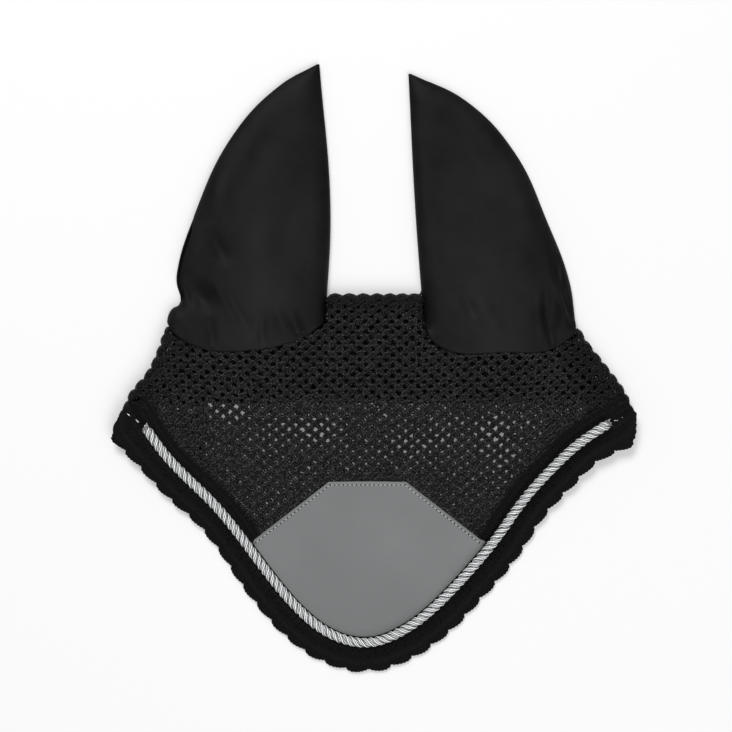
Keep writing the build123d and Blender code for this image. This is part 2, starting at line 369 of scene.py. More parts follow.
def on_face(flat):
    """Points of the face layer: x, y and height above its middle become a place on the veil."""
    placed = np.array(flat, float)
    placed[:, 2] = pressed(placed)
    placed[:, 2] += np.where(placed[:, 1] < BROW_FOLD_Y, brow_height(placed[:, 1]), FACE_Z) + YARN_MID
    corner = np.abs(placed[:, 0]) > CORNER_X
    upper = np.nonzero(placed[:, 1] > BROW_FOLD_Y - corner * CORNER_DROP)[0]
    depth, inward, nearest = depth_inside(placed[upper, :2], VEIL_OUTLINE)
    foot = in_foot(placed[upper, :2])
    sunk = np.clip(1.2 * MM - depth, 0, 2 * MM) * 0.9
    placed[upper[foot], 2] -= sunk[foot]
    turned = (depth < FOLD_DEPTH) & ~foot
    above = np.array(flat, float)[upper[turned], 2]
    placed[upper[turned]] = round_edge(above, depth[turned], inward[turned], nearest[turned])
    placed[:, 2] = np.maximum(placed[:, 2], LOWEST_YARN)
    return placed


def round_edge(above, depth, inward, nearest):
    """Places of the layer's points near its folded edge, where it turns under to meet the poll layer."""
    reach = FOLD_RADIUS + above
    turn = np.minimum((FOLD_DEPTH - depth) / FOLD_RADIUS, pi)
    left_over = np.maximum(FOLD_DEPTH - depth - pi * FOLD_RADIUS, 0)
    inset = FOLD_DEPTH - reach * np.sin(turn) + left_over
    height = YARN_MID + FOLD_RADIUS + reach * np.cos(turn)
    return np.column_stack([nearest + inward * inset[:, None], height])


def patch_gap(points):
    """How far points lie outside the patch's upper edges, less than nothing where it covers them."""
    gaps = [points[:, 1] - PATCH_TOP_Y * MM]
    fall = (PATCH_CORNER_Y - PATCH_TOP_Y) * MM
    for side, top_x, corner_x in zip((-1, 1), PATCH_TOP, PATCH_CORNER):
        run = (corner_x - top_x) * MM
        along = (points[:, 0] - top_x * MM) * -fall + (points[:, 1] - PATCH_TOP_Y * MM) * run
        gaps.append(side * along / hypot(run, fall))
    return np.max(gaps, axis=0)


def pressed(flat):
    """Heights of the face's yarns above its middle, flatter under the patch and under the band."""
    heights = np.array(flat[:, 2], float)
    covered = patch_gap(flat) < 0
    lower = np.nonzero(flat[:, 1] < BROW_FOLD_Y)[0]
    depth, _, _ = depth_inside(flat[lower, :2], BROW_OUTLINE)
    covered[lower] |= depth < -0.8 * MM
    return np.where(covered, heights * 0.4 - 0.45 * MM, heights)


def in_foot(points):
    """Which points are nearest to an ear's foot seam, where the layer runs flat under the cloth."""
    found = np.zeros(len(points), bool)
    edge = 4 * MM
    x, y = points.T
    for ear in (LEFT_EAR, RIGHT_EAR):
        seam = foot_line(ear)
        seam = seam[np.argsort(seam[:, 0])]
        above_seam = y > np.interp(x, seam[:, 0], seam[:, 1]) - 12 * MM
        found |= (x > seam[0, 0] + edge) & (x < seam[-1, 0] - edge) & above_seam
    return found


def on_poll(flat):
    """Points of the poll layer, which lies flat on the table."""
    placed = np.array(flat, float)
    placed[:, 2] = YARN_MID - placed[:, 2]
    return placed


# --- Meshes -------------------------------------------------------------------


def add_object(name, mesh, material):
    """A piece in the scene, with its material."""
    mesh.name = name
    mesh.materials.clear()
    mesh.materials.append(material)
    piece = bpy.data.objects.new(name, mesh)
    bpy.context.scene.collection.objects.link(piece)
    return piece


def yarn_piece(name, lines, radius, material, ring=1, tapers=None, middles=None, levels=None):
    """Round yarns along the given lines, as one mesh whose pattern map runs in metres along each yarn.

    Where middles are given, each yarn's surface is marked with how far it lies from them, for painted light
    and shade. Where levels are given, it is marked with its height above the middle of the net, for painted
    shade.
    """
    if not lines:
        raise RuntimeError(name + " has no yarn to make")
    mesh = yarn_mesh(name, lines, radius, ring, tapers)
    around = len(mesh.vertices) // sum(len(line) for line in lines)
    measure_pattern(mesh, lines, around)
    spots = np.zeros(len(mesh.vertices) * 3)
    mesh.vertices.foreach_get("co", spots)
    spots = spots.reshape(-1, 3)
    if middles is not None:
        centre = np.repeat(np.concatenate(middles), around, axis=0)
        mark_surface(mesh, "outward", np.linalg.norm(spots - centre, axis=1))
    if levels is not None:
        own = spots[:, 2] - np.repeat(np.concatenate(lines)[:, 2], around)
        mark_surface(mesh, "level", own + np.repeat(np.concatenate(levels), around))
    close_ends(mesh)
    mesh.shade_smooth()
    return add_object(name, mesh, material)


def yarn_mesh(name, lines, radius, ring, tapers):
    """Round yarns along the given lines, with open ends."""
    curve = bpy.data.curves.new(name, "CURVE")
    curve.dimensions = "3D"
    curve.bevel_depth = radius
    curve.bevel_resolution = ring
    for index, line in enumerate(lines):
        spline = curve.splines.new("POLY")
        spline.points.add(len(line) - 1)
        places = np.concatenate([line, np.ones((len(line), 1))], axis=1)
        spline.points.foreach_set("co", places.ravel())
        if tapers is not None:
            spline.points.foreach_set("radius", tapers[index])
    return mesh_of(curve)


def measure_pattern(mesh, lines, around):
    """Stretches the pattern map, which runs from 0 to 1 along each yarn, to the yarn's length in metres."""
    owner = np.repeat(np.arange(len(lines)), np.array([len(line) for line in lines]) * around)
    reach = np.array([lengths_along(np.asarray(line))[-1] for line in lines])
    corner = np.zeros(len(mesh.loops), int)
    mesh.loops.foreach_get("vertex_index", corner)
    pattern = mesh.uv_layers[0].data
    places = np.zeros(len(mesh.loops) * 2)
    pattern.foreach_get("uv", places)
    places[0::2] *= reach[owner[corner]]
    pattern.foreach_set("uv", places)


def mark_surface(mesh, name, values):
    """Stores a value at each vertex, for the material to read."""
    mark = mesh.attributes.new(name, "FLOAT", "POINT")
    mark.data.foreach_set("value", values.astype(np.float32))


def close_ends(mesh):
    """Closes the open ends of the yarns."""
    shape = bmesh.new()
    shape.from_mesh(mesh)
    rims = [edge for edge in shape.edges if edge.is_boundary]
    bmesh.ops.holes_fill(shape, edges=rims, sides=0)
    shape.to_mesh(mesh)
    shape.free()


def braid(line, phase, width, depth, strands=3):
    """Yarns that weave side to side along a flat line, as x, y and height above the layer's middle."""
    across = leftward(line)
    yarns = []
    for k in range(strands):
        turn = phase + 2 * pi * k / strands
        flat = line + across * np.reshape(width * np.sin(turn), (-1, 1))
        yarns.append(np.column_stack([flat, depth * np.sin(2 * turn)]))
    return yarns


# --- Crochet nets -------------------------------------------------------------


class Net:
    """A diamond net: rows of zigzag chain, each hooked into the row above."""

    def __init__(self, sizes, seed, shift):
        self.shift = shift
        self.half = sizes.net_pitch / 2
        self.row = sizes.net_row
        self.rows = int(ceil((FIRST_ROW_Y - LAST_ROW_Y) / self.row))
        self.reach = int(ceil(NET_REACH / self.half))
        self.seed = seed
        self.stray = sizes.net_stray
        noise.seed_set(seed + DRIFT_SEED)

    def node(self, i, j):
        """Where a knot of the net lies before it is folded."""
        u = (i + self.shift) * self.half
        v = FIRST_ROW_Y - j * self.row
        sag = 4 * MM * max(0.0, 1 - (u / (150 * MM)) ** 2)
        x = u * (1 + 0.53 * (v - POLL_FOLD_Y))
        y = v - sag + (0.3 * MM if j % 2 else -0.3 * MM)
        shift = noise.noise_vector(Vector((i * 0.71 + self.seed, j * 0.83, self.seed)))
        drift = noise.noise_vector(Vector((i * 0.11, j * 0.13 + self.seed, 3.1)))
        x += self.stray * (shift.x + 1.2 * drift.x)
        y += self.stray * (shift.y + 1.2 * drift.y)
        return x, y

    def lines(self, allowed):
        """The knots, and the zigzag rows that run through them, cut where the net ends."""
        columns = range(-self.reach, self.reach + 1)
        keys = [(i, j) for j in range(self.rows + 2) for i in columns if (i + j) % 2 == 0]
        places = np.array([self.node(i, j) for i, j in keys])
        nodes = {key: place for key, place, kept in zip(keys, places, allowed(places)) if kept}
        found = []
        for j in range(self.rows + 1):
            run = []
            for i in range(-self.reach, self.reach + 2):
                key = (i, j) if (i + j) % 2 == 0 else (i, j + 1)
                if key in nodes:
                    run.append((nodes[key], key[1] == j))
                else:
                    found.append(run)
                    run = []
            found.append(run)
        return nodes, [run for run in found if len(run) > 1]


def chain_line(run, steps, overshoot):
    """A zigzag through knots, with its turns pushed past them so that rows hook together."""
    points = []
    for (start, high), (end, _) in zip(run, run[1:]):
        lift = overshoot if high else -overshoot
        for s in range(steps):
            t = s / steps
            bulge = cos(pi * t) * lift
            x = start[0] + (end[0] - start[0]) * t
            y = start[1] + (end[1] - start[1]) * t
            points.append((x, y + bulge * (abs(1 - 2 * t)) ** 1.5))
    last, high = run[-1]
    points.append((last[0], last[1] + (overshoot if high else -overshoot)))
    return np.array(points)


def knot_loop(place, size, turn):
    """The loop of a stitch over a knot: up one side, round the top and down the other."""
    shape = [(-0.25, -1.3, -0.5), (-0.75, -0.4, 0.75), (-0.95, 0.65, 0.95), (0, 1.35, 0.35)]
    shape += [(0.95, 0.65, 0.95), (0.75, -0.4, 0.75), (0.25, -1.3, -0.5)]
    points = []
    for a, b, c in shape:
        x = a * cos(turn) - b * sin(turn)
        y = a * sin(turn) + b * cos(turn)
        points.append((place[0] + x * size, place[1] + y * size, c * size))
    return np.array(points)


def net_end(places):
    """How far inside the veil's outline places lie, and how far the net runs on past it near them."""
    depth, _, nearest = depth_inside(places, VEIL_OUTLINE)
    apart = ((nearest[:, None] - VEIL_OUTLINE[None]) ** 2).sum(2)
    return depth, VEIL_PAST[apart.argmin(1)]


def beside_ear(places, far, up):
    """Which places lie this far from the middle and this far above the ears' fold, in millimetres."""
    return (np.abs(places[:, 0]) > far * MM) & (places[:, 1] > EAR_FOLD_Y + up * MM)


def veil_allows(places):
    """Which knots belong to the face layer."""
    depth, past = net_end(places)
    upper = (places[:, 1] >= BROW_FOLD_Y) & (depth > -past)
    brow_depth, _, _ = depth_inside(places, BROW_OUTLINE)
    lower = (places[:, 1] < BROW_FOLD_Y) & (brow_depth > -6 * MM)
    beside_foot = beside_ear(places, 134, 2) | beside_ear(places, 142, -5.5)
    beside_foot |= beside_ear(places, 139.5, -7) & (places[:, 0] > 0)
    return (upper | lower) & ~beside_foot


def poll_allows(places):
    """Which knots belong to the poll layer above its finished edge."""
    depth, past = net_end(places)
    far = np.abs(places[:, 0])
    least = np.where(past > 4 * MM, 2.5 * MM, -4 * MM)
    least[(far > 125 * MM) & (least > 0)] = 5.5 * MM
    beside_foot = beside_ear(places, 141, -9) | beside_ear(places, 134, -3)
    legs = (far > POLL_LEG_X - 2 * MM) & (places[:, 1] > BROW_FOLD_Y - 4 * MM)
    return (depth > least) & ~beside_foot & ((places[:, 1] > POLL_EDGE_Y - 5 * MM) | legs)


def tip_allows(places):
    """Which knots belong to the legs of the poll layer behind the brow."""
    held = np.column_stack([places[:, 0], np.minimum(places[:, 1], BROW_FOLD_Y - 1 * MM)])
    depth, _, _ = depth_inside(held, TIP_OUTLINE)
    side = np.abs(places[:, 0]) > POLL_LEG_X
    from_edge, _, _ = depth_inside(places, VEIL_OUTLINE)
    within = (from_edge > 5.5 * MM) | (places[:, 1] < BROW_FOLD_Y - 5 * MM)
    return side & within & (depth > 0) & (places[:, 1] < BROW_FOLD_Y + 5 * MM)


def map_lines(lines, placer):
    """All the lines placed at once, which is quicker than one at a time."""
    if not lines:
        return []
    counts = np.cumsum([len(line) for line in lines])[:-1]
    return np.split(placer(np.concatenate(lines)), counts)


# --- Materials ----------------------------------------------------------------


class Look:
    """A node material while it is made. Values are plain numbers or the outputs of other nodes."""

    def __init__(self, name):
        self.material = bpy.data.materials.new(name)
        self.material.use_nodes = True
        self.tree = self.material.node_tree

    def fill(self, node, values):
        """Gives inputs of a node their values."""
        for key, value in values.items():
            if isinstance(value, bpy.types.NodeSocket):
                self.tree.links.new(value, node.inputs[key])
            else:
                node.inputs[key].default_value = value

    def node(self, kind, values):
        """A new node with its values."""
        node = self.tree.nodes.new("ShaderNode" + kind)
        self.fill(node, values)
        return node

    def math(self, operation, *values):
        """A sum of one to three values."""
        node = self.tree.nodes.new("ShaderNodeMath")
        node.operation = operation
        self.fill(node, dict(enumerate(values)))
        return node.outputs[0]

    def coordinates(self, kind):
        """Coordinates on the piece: those of its pattern map, or its own."""
        return self.node("TexCoord", {}).outputs[kind]

    def split(self, vector):
        """The three parts of a place."""
        return self.node("SeparateXYZ", {0: vector}).outputs

    def mark(self, name):
        """A value stored on the surface."""
        node = self.node("Attribute", {})
        node.attribute_name = name
        return node.outputs["Fac"]

    def stretched(self, vector, scale):
        """Coordinates stretched by a scale along each axis."""
        return self.node("Mapping", {"Scale": scale, "Vector": vector}).outputs["Vector"]

    def noise(self, vector, scale, detail=2.0, rough=0.5):
        """A noise texture on the given coordinates."""
        values = {"Scale": scale, "Detail": detail, "Roughness": rough, "Vector": vector}
        return self.node("TexNoise", values).outputs["Fac"]

    def ply_wave(self, vector, plies, lay):
        """Ridges that wind round a yarn: plies of them, one turn in each lay."""
        node = self.tree.nodes.new("ShaderNodeVectorMath")
        node.operation = "DOT_PRODUCT"
        self.fill(node, {0: vector, 1: (2 * pi * plies / lay, 2 * pi * plies, 0)})
        return self.math("SINE", node.outputs["Value"])

    def colour(self, factor, dark, light):
        """A colour between two, by a factor."""
        node = self.tree.nodes.new("ShaderNodeMix")
        node.data_type = "RGBA"
        self.fill(node, {"A": (*dark, 1), "B": (*light, 1), "Factor": factor})
        return node.outputs["Result"]

    def ranged(self, value, low, high, to_low, to_high):
        """A value moved from one range to another."""
        values = {"Value": value, "From Min": low, "From Max": high, "To Min": to_low, "To Max": to_high}
        return self.node("MapRange", values).outputs["Result"]

    def bump(self, height, distance, strength, under=None):
        """A bump, on top of another one if given."""
        values = {"Height": height, "Distance": distance, "Strength": strength}
        if under is not None:
            values["Normal"] = under
        return self.node("Bump", values).outputs["Normal"]

    def finish(self, **values):
        """The finished material, with the values of its surface."""
        names = {name: name.replace("_", " ").title() for name in values}
        names["gloss"] = "Specular IOR Level"
        shader = self.tree.nodes["Principled BSDF"]
        self.fill(shader, {names[name]: value for name, value in values.items()})
        return self.material


def shade(colour, factor):
    """A colour made lighter or darker."""
    return tuple(min(1.0, c * factor) for c in colour)


def fold_shade(look):
    """Painted shade: a factor of 1 over most of the veil, less near its folded top and sides, where the net
    is drawn close and lies in shade.
    """
    x, y, _ = look.split(look.coordinates("Object"))
    slanted = look.math("MULTIPLY_ADD", y, 0.56, look.math("ABSOLUTE", x))
    side = look.ranged(slanted, 128 * MM, 150 * MM, 1, 0.35)
    top = look.ranged(y, 34 * MM, 44 * MM, 1, 0.4)
    return look.math("MINIMUM", side, top)


def level_shade(look):
    """Painted shade: a factor that is 1 on the yarns at the net's two faces and falls on those that lie
    between, in the shade of the others.
    """
    apart = look.math("ABSOLUTE", look.math("ADD", look.mark("level"), LEVEL_MIDDLE))
    return look.ranged(apart, 0, 1.7 * MM, 0.12, 1)


def yarn_material(name, colour, plies, lay, relief, contrast, gloss, roughness=0.8, shaded=False):
    """Spun yarn: plies that wind round it, and fibres along it that are paler and darker by turns. With a
    high contrast the pale streaks are painted highlights over the fibres' own tone, and where shaded, painted
    shade falls near the folds and between the net's faces.
    """
    look = Look(name)
    place = look.coordinates("UV")
    wave = look.ply_wave(place, plies, lay)
    fibres = look.noise(look.stretched(place, (300, 2.4, 1)), 1.0, 2.0, 0.6)
    clumps = look.noise(look.stretched(place, (160, 1.5, 1)), 1.0, 1.0)
    tone = look.ranged(look.math("MULTIPLY_ADD", wave, 0.06, fibres), 0.45, 0.66, 0, 1)
    if shaded:
        tone = look.math("MULTIPLY", look.math("MULTIPLY", tone, fold_shade(look)), level_shade(look))
    return look.finish(
        base_color=look.colour(tone, shade(colour, 1 / contrast), shade(colour, contrast)),
        roughness=look.ranged(clumps, 0.3, 0.7, roughness - 0.08, roughness + 0.1),
        normal=look.bump(fibres, relief * 0.8, 0.7, look.bump(wave, relief, 0.8)),
        gloss=gloss,
    )


def ear_cloth_material(name, colour):
    """Close black jersey: fine ribs of knit, soft blotches and a faint sheen, with painted light over the
    middle of each ear and painted shade where the cloth lies low by its rim.
    """
    look = Look(name)
    place = look.coordinates("UV")
    x, y, _ = look.split(place)
    wales = look.math("SINE", look.math("MULTIPLY", x, 2 * pi / (0.9 * MM)))
    courses = look.math("SINE", look.math("MULTIPLY", y, 2 * pi / (0.7 * MM)))
    knit = look.math("MULTIPLY_ADD", wales, 0.7, courses)
    blotches = look.noise(place, 34, 3.0, 0.55)
    fuzz = look.noise(place, 1500, 2.0, 0.6)
    tone = look.math("MULTIPLY_ADD", fuzz, 0.6, blotches)
    tone_and_middle_light = look.math("MULTIPLY_ADD", ear_middle_light(look, x, y), 0.55, tone)
    height = look.split(look.coordinates("Object"))["Z"]
    # painted shade: cloth that lies low, by the rim, is painted darker
    rim_shade = look.ranged(height, 3 * MM, 6.5 * MM, 0.4, 1)
    factor = look.math("MULTIPLY", look.ranged(tone_and_middle_light, 0.55, 1.5, 0, 1), rim_shade)
    return look.finish(
        base_color=look.colour(factor, shade(colour, 0.35), shade(colour, 2.1)),
        roughness=look.ranged(blotches, 0.3, 0.7, 0.48, 0.58),
        normal=look.bump(fuzz, 0.04 * MM, 0.4, look.bump(knit, 0.03 * MM, 0.5)),
        gloss=0.1,
    )


def ear_middle_light(look, x, y):
    """From 0 to 1, how near a place is to the middle of its ear: painted light, paler over the middle and
    less toward the tip.
    """
    slanted = look.math("MULTIPLY_ADD", y, 0.11, look.math("ABSOLUTE", x))
    apart = look.math("ABSOLUTE", look.math("SUBTRACT", slanted, 85 * MM))
    near = look.ranged(apart, 0, 38 * MM, 1, 0)
    return look.math("MULTIPLY", near, look.ranged(y, 60 * MM, 160 * MM, 1, 0.1))


def leather_material(name, colour):
    """Smooth grey synthetic leather with a fine grain, and painted shade that makes it a little darker toward
    its point.
    """
    look = Look(name)
    place = look.coordinates("UV")
    grain = look.node("TexVoronoi", {"Scale": 900, "Vector": place}).outputs["Distance"]
    cloud = look.noise(place, 16, 3.0, 0.5)
    pores = look.noise(place, 700, 2.0, 0.5)
    point_shade = look.ranged(look.split(place)["Y"], -190 * MM, -125 * MM, 0.25, 1)
    tone = look.math("MULTIPLY", look.ranged(cloud, 0.3, 0.7, 0.35, 1), point_shade)
    return look.finish(
        base_color=look.colour(tone, shade(colour, 0.86), shade(colour, 1.06)),
        roughness=look.ranged(pores, 0.3, 0.7, 0.46, 0.6),
        normal=look.bump(cloud, 1.2 * MM, 0.25, look.bump(grain, 0.05 * MM, 0.35)),
        gloss=0.4,
    )


def cord_material(name, colour):
    """Bright satin thread: many fine filaments that catch the light."""
    look = Look(name)
    place = look.coordinates("UV")
    wave = look.ply_wave(place, 4, 6 * MM)
    filaments = look.noise(look.stretched(place, (500, 14, 1)), 1.0, 2.0, 0.6)
    # painted light and shade: the outsides of the plies, far from each strand's middle, are painted pale and
    # the grooves between them dark
    crest_light_and_groove_shade = look.ranged(look.mark("outward"), CORD_RADIUS * 0.415, CORD_RADIUS * 0.465, 0, 0.8)
    tone = look.ranged(look.math("MULTIPLY_ADD", filaments, 0.4, crest_light_and_groove_shade), 0.1, 0.85, 0, 1)
    return look.finish(
        base_color=look.colour(tone, shade(colour, 0.1), shade(colour, 1.25)),
        roughness=look.ranged(filaments, 0.3, 0.7, 0.16, 0.28),
        normal=look.bump(filaments, 0.06 * MM, 0.5, look.bump(wave, 0.04 * MM, 0.6)),
        gloss=0.9,
        sheen_weight=0.1,
    )


def floor_material(name):
    """A plain white table top. Where it is seen directly, part of its white is its own light."""
    look = Look(name)
    seen = look.node("LightPath", {}).outputs["Is Camera Ray"]
    return look.finish(
        base_color=look.colour(seen, (0.86, 0.86, 0.86), (0.72, 0.72, 0.72)),
        roughness=0.9,
        gloss=0.0,
        emission_color=(1, 1, 1, 1),
        emission_strength=look.ranged(seen, 0, 1, 0, 0.2),
    )


def kept_material(name, make, *values, **settings):
    """The material of that name, made the first time it is asked for."""
    return bpy.data.materials.get(name) or make(name, *values, **settings)


# --- Settings -----------------------------------------------------------------


def colour_setting(label, about, default):
    """A colour that the user can change."""
    return FloatVectorProperty(
        name=label, description=about, default=default, min=0.0, max=1.0, size=3, subtype="COLOR"
    )


def length_setting(label, about, default):
    """A length that the user can change."""
    return FloatProperty(
        name=label, description=about, default=default, min=0.0, unit="LENGTH", precision=5
    )


class FlyVeilSizes(bpy.types.PropertyGroup):
    net_pitch: length_setting("Net pitch", "Distance between holes along a row of the net", 9.5 * MM)
    net_row: length_setting("Net row", "Distance from one row of the net to the next", 3.8 * MM)
    net_stray: length_setting("Net stray", "How far the knots of the net stray from even rows", 1.0 * MM)
    yarn: length_setting("Yarn", "Diameter of one yarn of the crochet", 1.5 * MM)
    post_pitch: length_setting("Post pitch", "Distance between the upright stitches of the edge", 1.75 * MM)
    shell_length: length_setting("Shell length", "Length of one scallop along the edge", 15.8 * MM)
    shell_step: length_setting("Shell step", "How far a scallop stands out between its notches", 3.0 * MM)
    cord_lay: length_setting("Cord lay", "Length of one full turn of the cord's strands", 15.0 * MM)
    stitch_pitch: length_setting("Stitch pitch", "Distance between stitches on the patch", 3.15 * MM)
    stitch_inset: length_setting("Stitch inset", "Distance from the patch's edge to its stitches", 2.3 * MM)
    cord_plies: IntProperty(
        name="Cord plies", description="Plies in each strand of the cord", default=4, min=1
    )


class FlyVeilColours(bpy.types.PropertyGroup):
    yarn: colour_setting("Crochet yarn", "Colour of the crochet", (0.0125, 0.0125, 0.0129))
    trim: colour_setting("Trim yarn", "Colour of the band and the scalloped edge", (0.0115, 0.0115, 0.0122))
    ear: colour_setting("Ear cloth", "Colour of the ear covers", (0.007, 0.007, 0.0071))
    cord: colour_setting("Cord", "Colour of the twisted cord", (0.78, 0.79, 0.80))
    patch: colour_setting("Patch", "Colour of the leather patch", (0.174, 0.180, 0.182))
    thread: colour_setting("Thread", "Colour of the stitching on the patch", (0.52, 0.52, 0.52))


def black_yarn():
    """The crochet's yarn."""
    return kept_material(
        "black_yarn",
        yarn_material,
        tuple(bpy.context.scene.fly_veil_colours.yarn),
        plies=2,
        lay=3.4 * MM,
        relief=0.2 * MM,
        # a wide range of tone: random fibre tone, with pale streaks that are painted highlights on the yarns
        contrast=5.5,
        gloss=0.15,
        roughness=0.4,
        shaded=True,
    )


def trim_yarn():
    """The yarn of the band and the scalloped edge."""
    colour = tuple(bpy.context.scene.fly_veil_colours.trim)
    twist = {"plies": 3, "lay": 4.0 * MM, "relief": 0.1 * MM}
    return kept_material("edge_yarn", yarn_material, colour, contrast=1.25, gloss=0.0, **twist)


def declare(piece, body, slot, *nodes):
    """Ties a piece to the body it rides on and hides the plain shapes that it replaces. The slot is not used.
    """
    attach(piece, body)
    if nodes:
        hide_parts(*nodes)


# --- Face, poll and brow ------------------------------------------------------


def fullness(line, seed):
    """How full the chain is at each point of a line, because no two stitches are pulled alike."""
    full = unevenness(line, 45, 60, seed) * 0.3
    fine = unevenness(line, 240, 240, seed + 9) * 0.65
    lower = np.clip((BROW_FOLD_Y + 4 * MM - line[:, 1]) / (8 * MM), 0, 1)
    even = 0.80 + 0.54 * lower + 0.8 * closeness(line) + 0.3 * beside_hem(line)
    return even - 0.48 * stretch(line) + full + fine


def stretch(line):
    """From 0 to 1, how far the brow's net is pulled open at each point of a line."""
    found = np.zeros(len(line))
    for x, y, wide, high in STRETCHED:
        away = ((line[:, 0] / MM - x) / wide) ** 2 + ((line[:, 1] / MM - y) / high) ** 2
        found = np.maximum(found, np.exp(-away))
    return found


def beside_hem(line):
    """From 0 to 1, how near the stitches are to the band, the patch or the brow's fold."""
    depth, _, _ = depth_inside(line, BROW_OUTLINE)
    gap = np.minimum(np.abs(depth), np.maximum(patch_gap(line), 0))
    return np.clip(1 - gap / (9 * MM), 0, 1) * (line[:, 1] < BROW_FOLD_Y + 9 * MM)


def closeness(line):
    """From 0 to 1, how tightly the stitches are drawn together near the folded edges."""
    left = np.array(LEFT_SIDE[::-1]) * MM
    right = np.array(RIGHT_SIDE[::-1]) * MM
    from_left = line[:, 0] - np.interp(line[:, 1], left[:, 1], left[:, 0])
    from_right = np.interp(line[:, 1], right[:, 1], right[:, 0]) - line[:, 0]
    upper = np.clip((line[:, 1] - BROW_FOLD_Y) / (20 * MM) + 1, 0, 1)
    side = np.clip(1 - np.minimum(from_left, from_right) / (24 * MM), 0, 1) * upper
    top = np.clip(1 - (POLL_FOLD_Y - line[:, 1]) / (16 * MM), 0, 1)
    return np.maximum(side, top)


def net_parts(sizes, seed, allowed, steps, width, tied=True, shift=0):
    """The net's yarns before they are placed: lines for the chains, for the loops and for the knots."""
    nodes, runs = Net(sizes, seed, shift).lines(allowed)
    chains = []
    loops = []
    knots = []
    random = Random(seed)
    for run in runs:
        line = chain_line(run, steps, 0.55 * MM)
        phase = 2 * pi * np.arange(len(line)) / steps + random.random() * 0.8
        chain, *over = braid(line, phase, width * fullness(line, seed), 0.65 * MM)
        chains.append(chain)
        loops += over
        knots.append(raised(line[::2], -0.3 * MM))
    for x, y in nodes.values() if tied else []:
        turn = random.uniform(-0.35, 0.35)
        size = (1.3 + 0.35 * noise.noise(Vector((x * 300, y * 300, seed)))) * MM
        knots.append(knot_loop((x, y), size, turn))
        knots.append(knot_loop((x, y - 0.5 * MM), size * 0.55, turn))
    return chains, loops, knots


def poll_parts(sizes, allowed):
    """The yarns of the poll layer, which is worked more loosely and has no ties over its knots."""
    return net_parts(sizes, POLL_SEED, allowed, steps=4, width=3.2 * MM, tied=False, shift=1)


def split_at_fold(lines):
    """Yarns above the brow's fold, across it and below it."""
    above = []
    across = []
    below = []
    for line in lines:
        y = line[:, 1]
        if y.min() > BROW_FOLD_Y + FOLD_MARGIN:
            above.append(line)
        elif y.max() < BROW_FOLD_Y - FOLD_MARGIN:
            below.append(line)
        else:
            across.append(line)
    return above, across, below


def declare_net(lines, sizes):
    """Works out the flat size of a net and the area that its chains cover, and does nothing with them."""
    points = np.concatenate(lines)
    width, height = (points.max(0) - points.min(0))[:2]
    strand = hypot(sizes.net_pitch / 2, sizes.net_row)
    total = sum(lengths_along(line[:, :2])[-1] for line in lines)
    area = total / (strand * 1.12) * sizes.net_pitch / 2 * sizes.net_row
    length = max(height, area / width)
    area = max(min(area, width * length), 0.3 * width * length)


def level_seen(points):
    """Height of each point above the net's middle, less beside the band and above the brow's fold, which
    darkens the yarns there; beside the band this is painted shade, where the band shades them.
    """
    depth, _, _ = depth_inside(points[:, :2], BAND_SIDE)
    beside_band = np.clip(1 - depth / (11 * MM), 0, 1)
    above_brow = np.clip((points[:, 1] - BROW_FOLD_Y) / (10 * MM), 0, 1)
    seen = (1 - 0.6 * beside_band) * (1 - 0.13 * above_brow)
    return (points[:, 2] + LEVEL_MIDDLE) * seen - LEVEL_MIDDLE


def fold_blend(piece):
    """Bakes the place of a piece that lies across the brow's fold into its mesh."""
    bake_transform(piece)


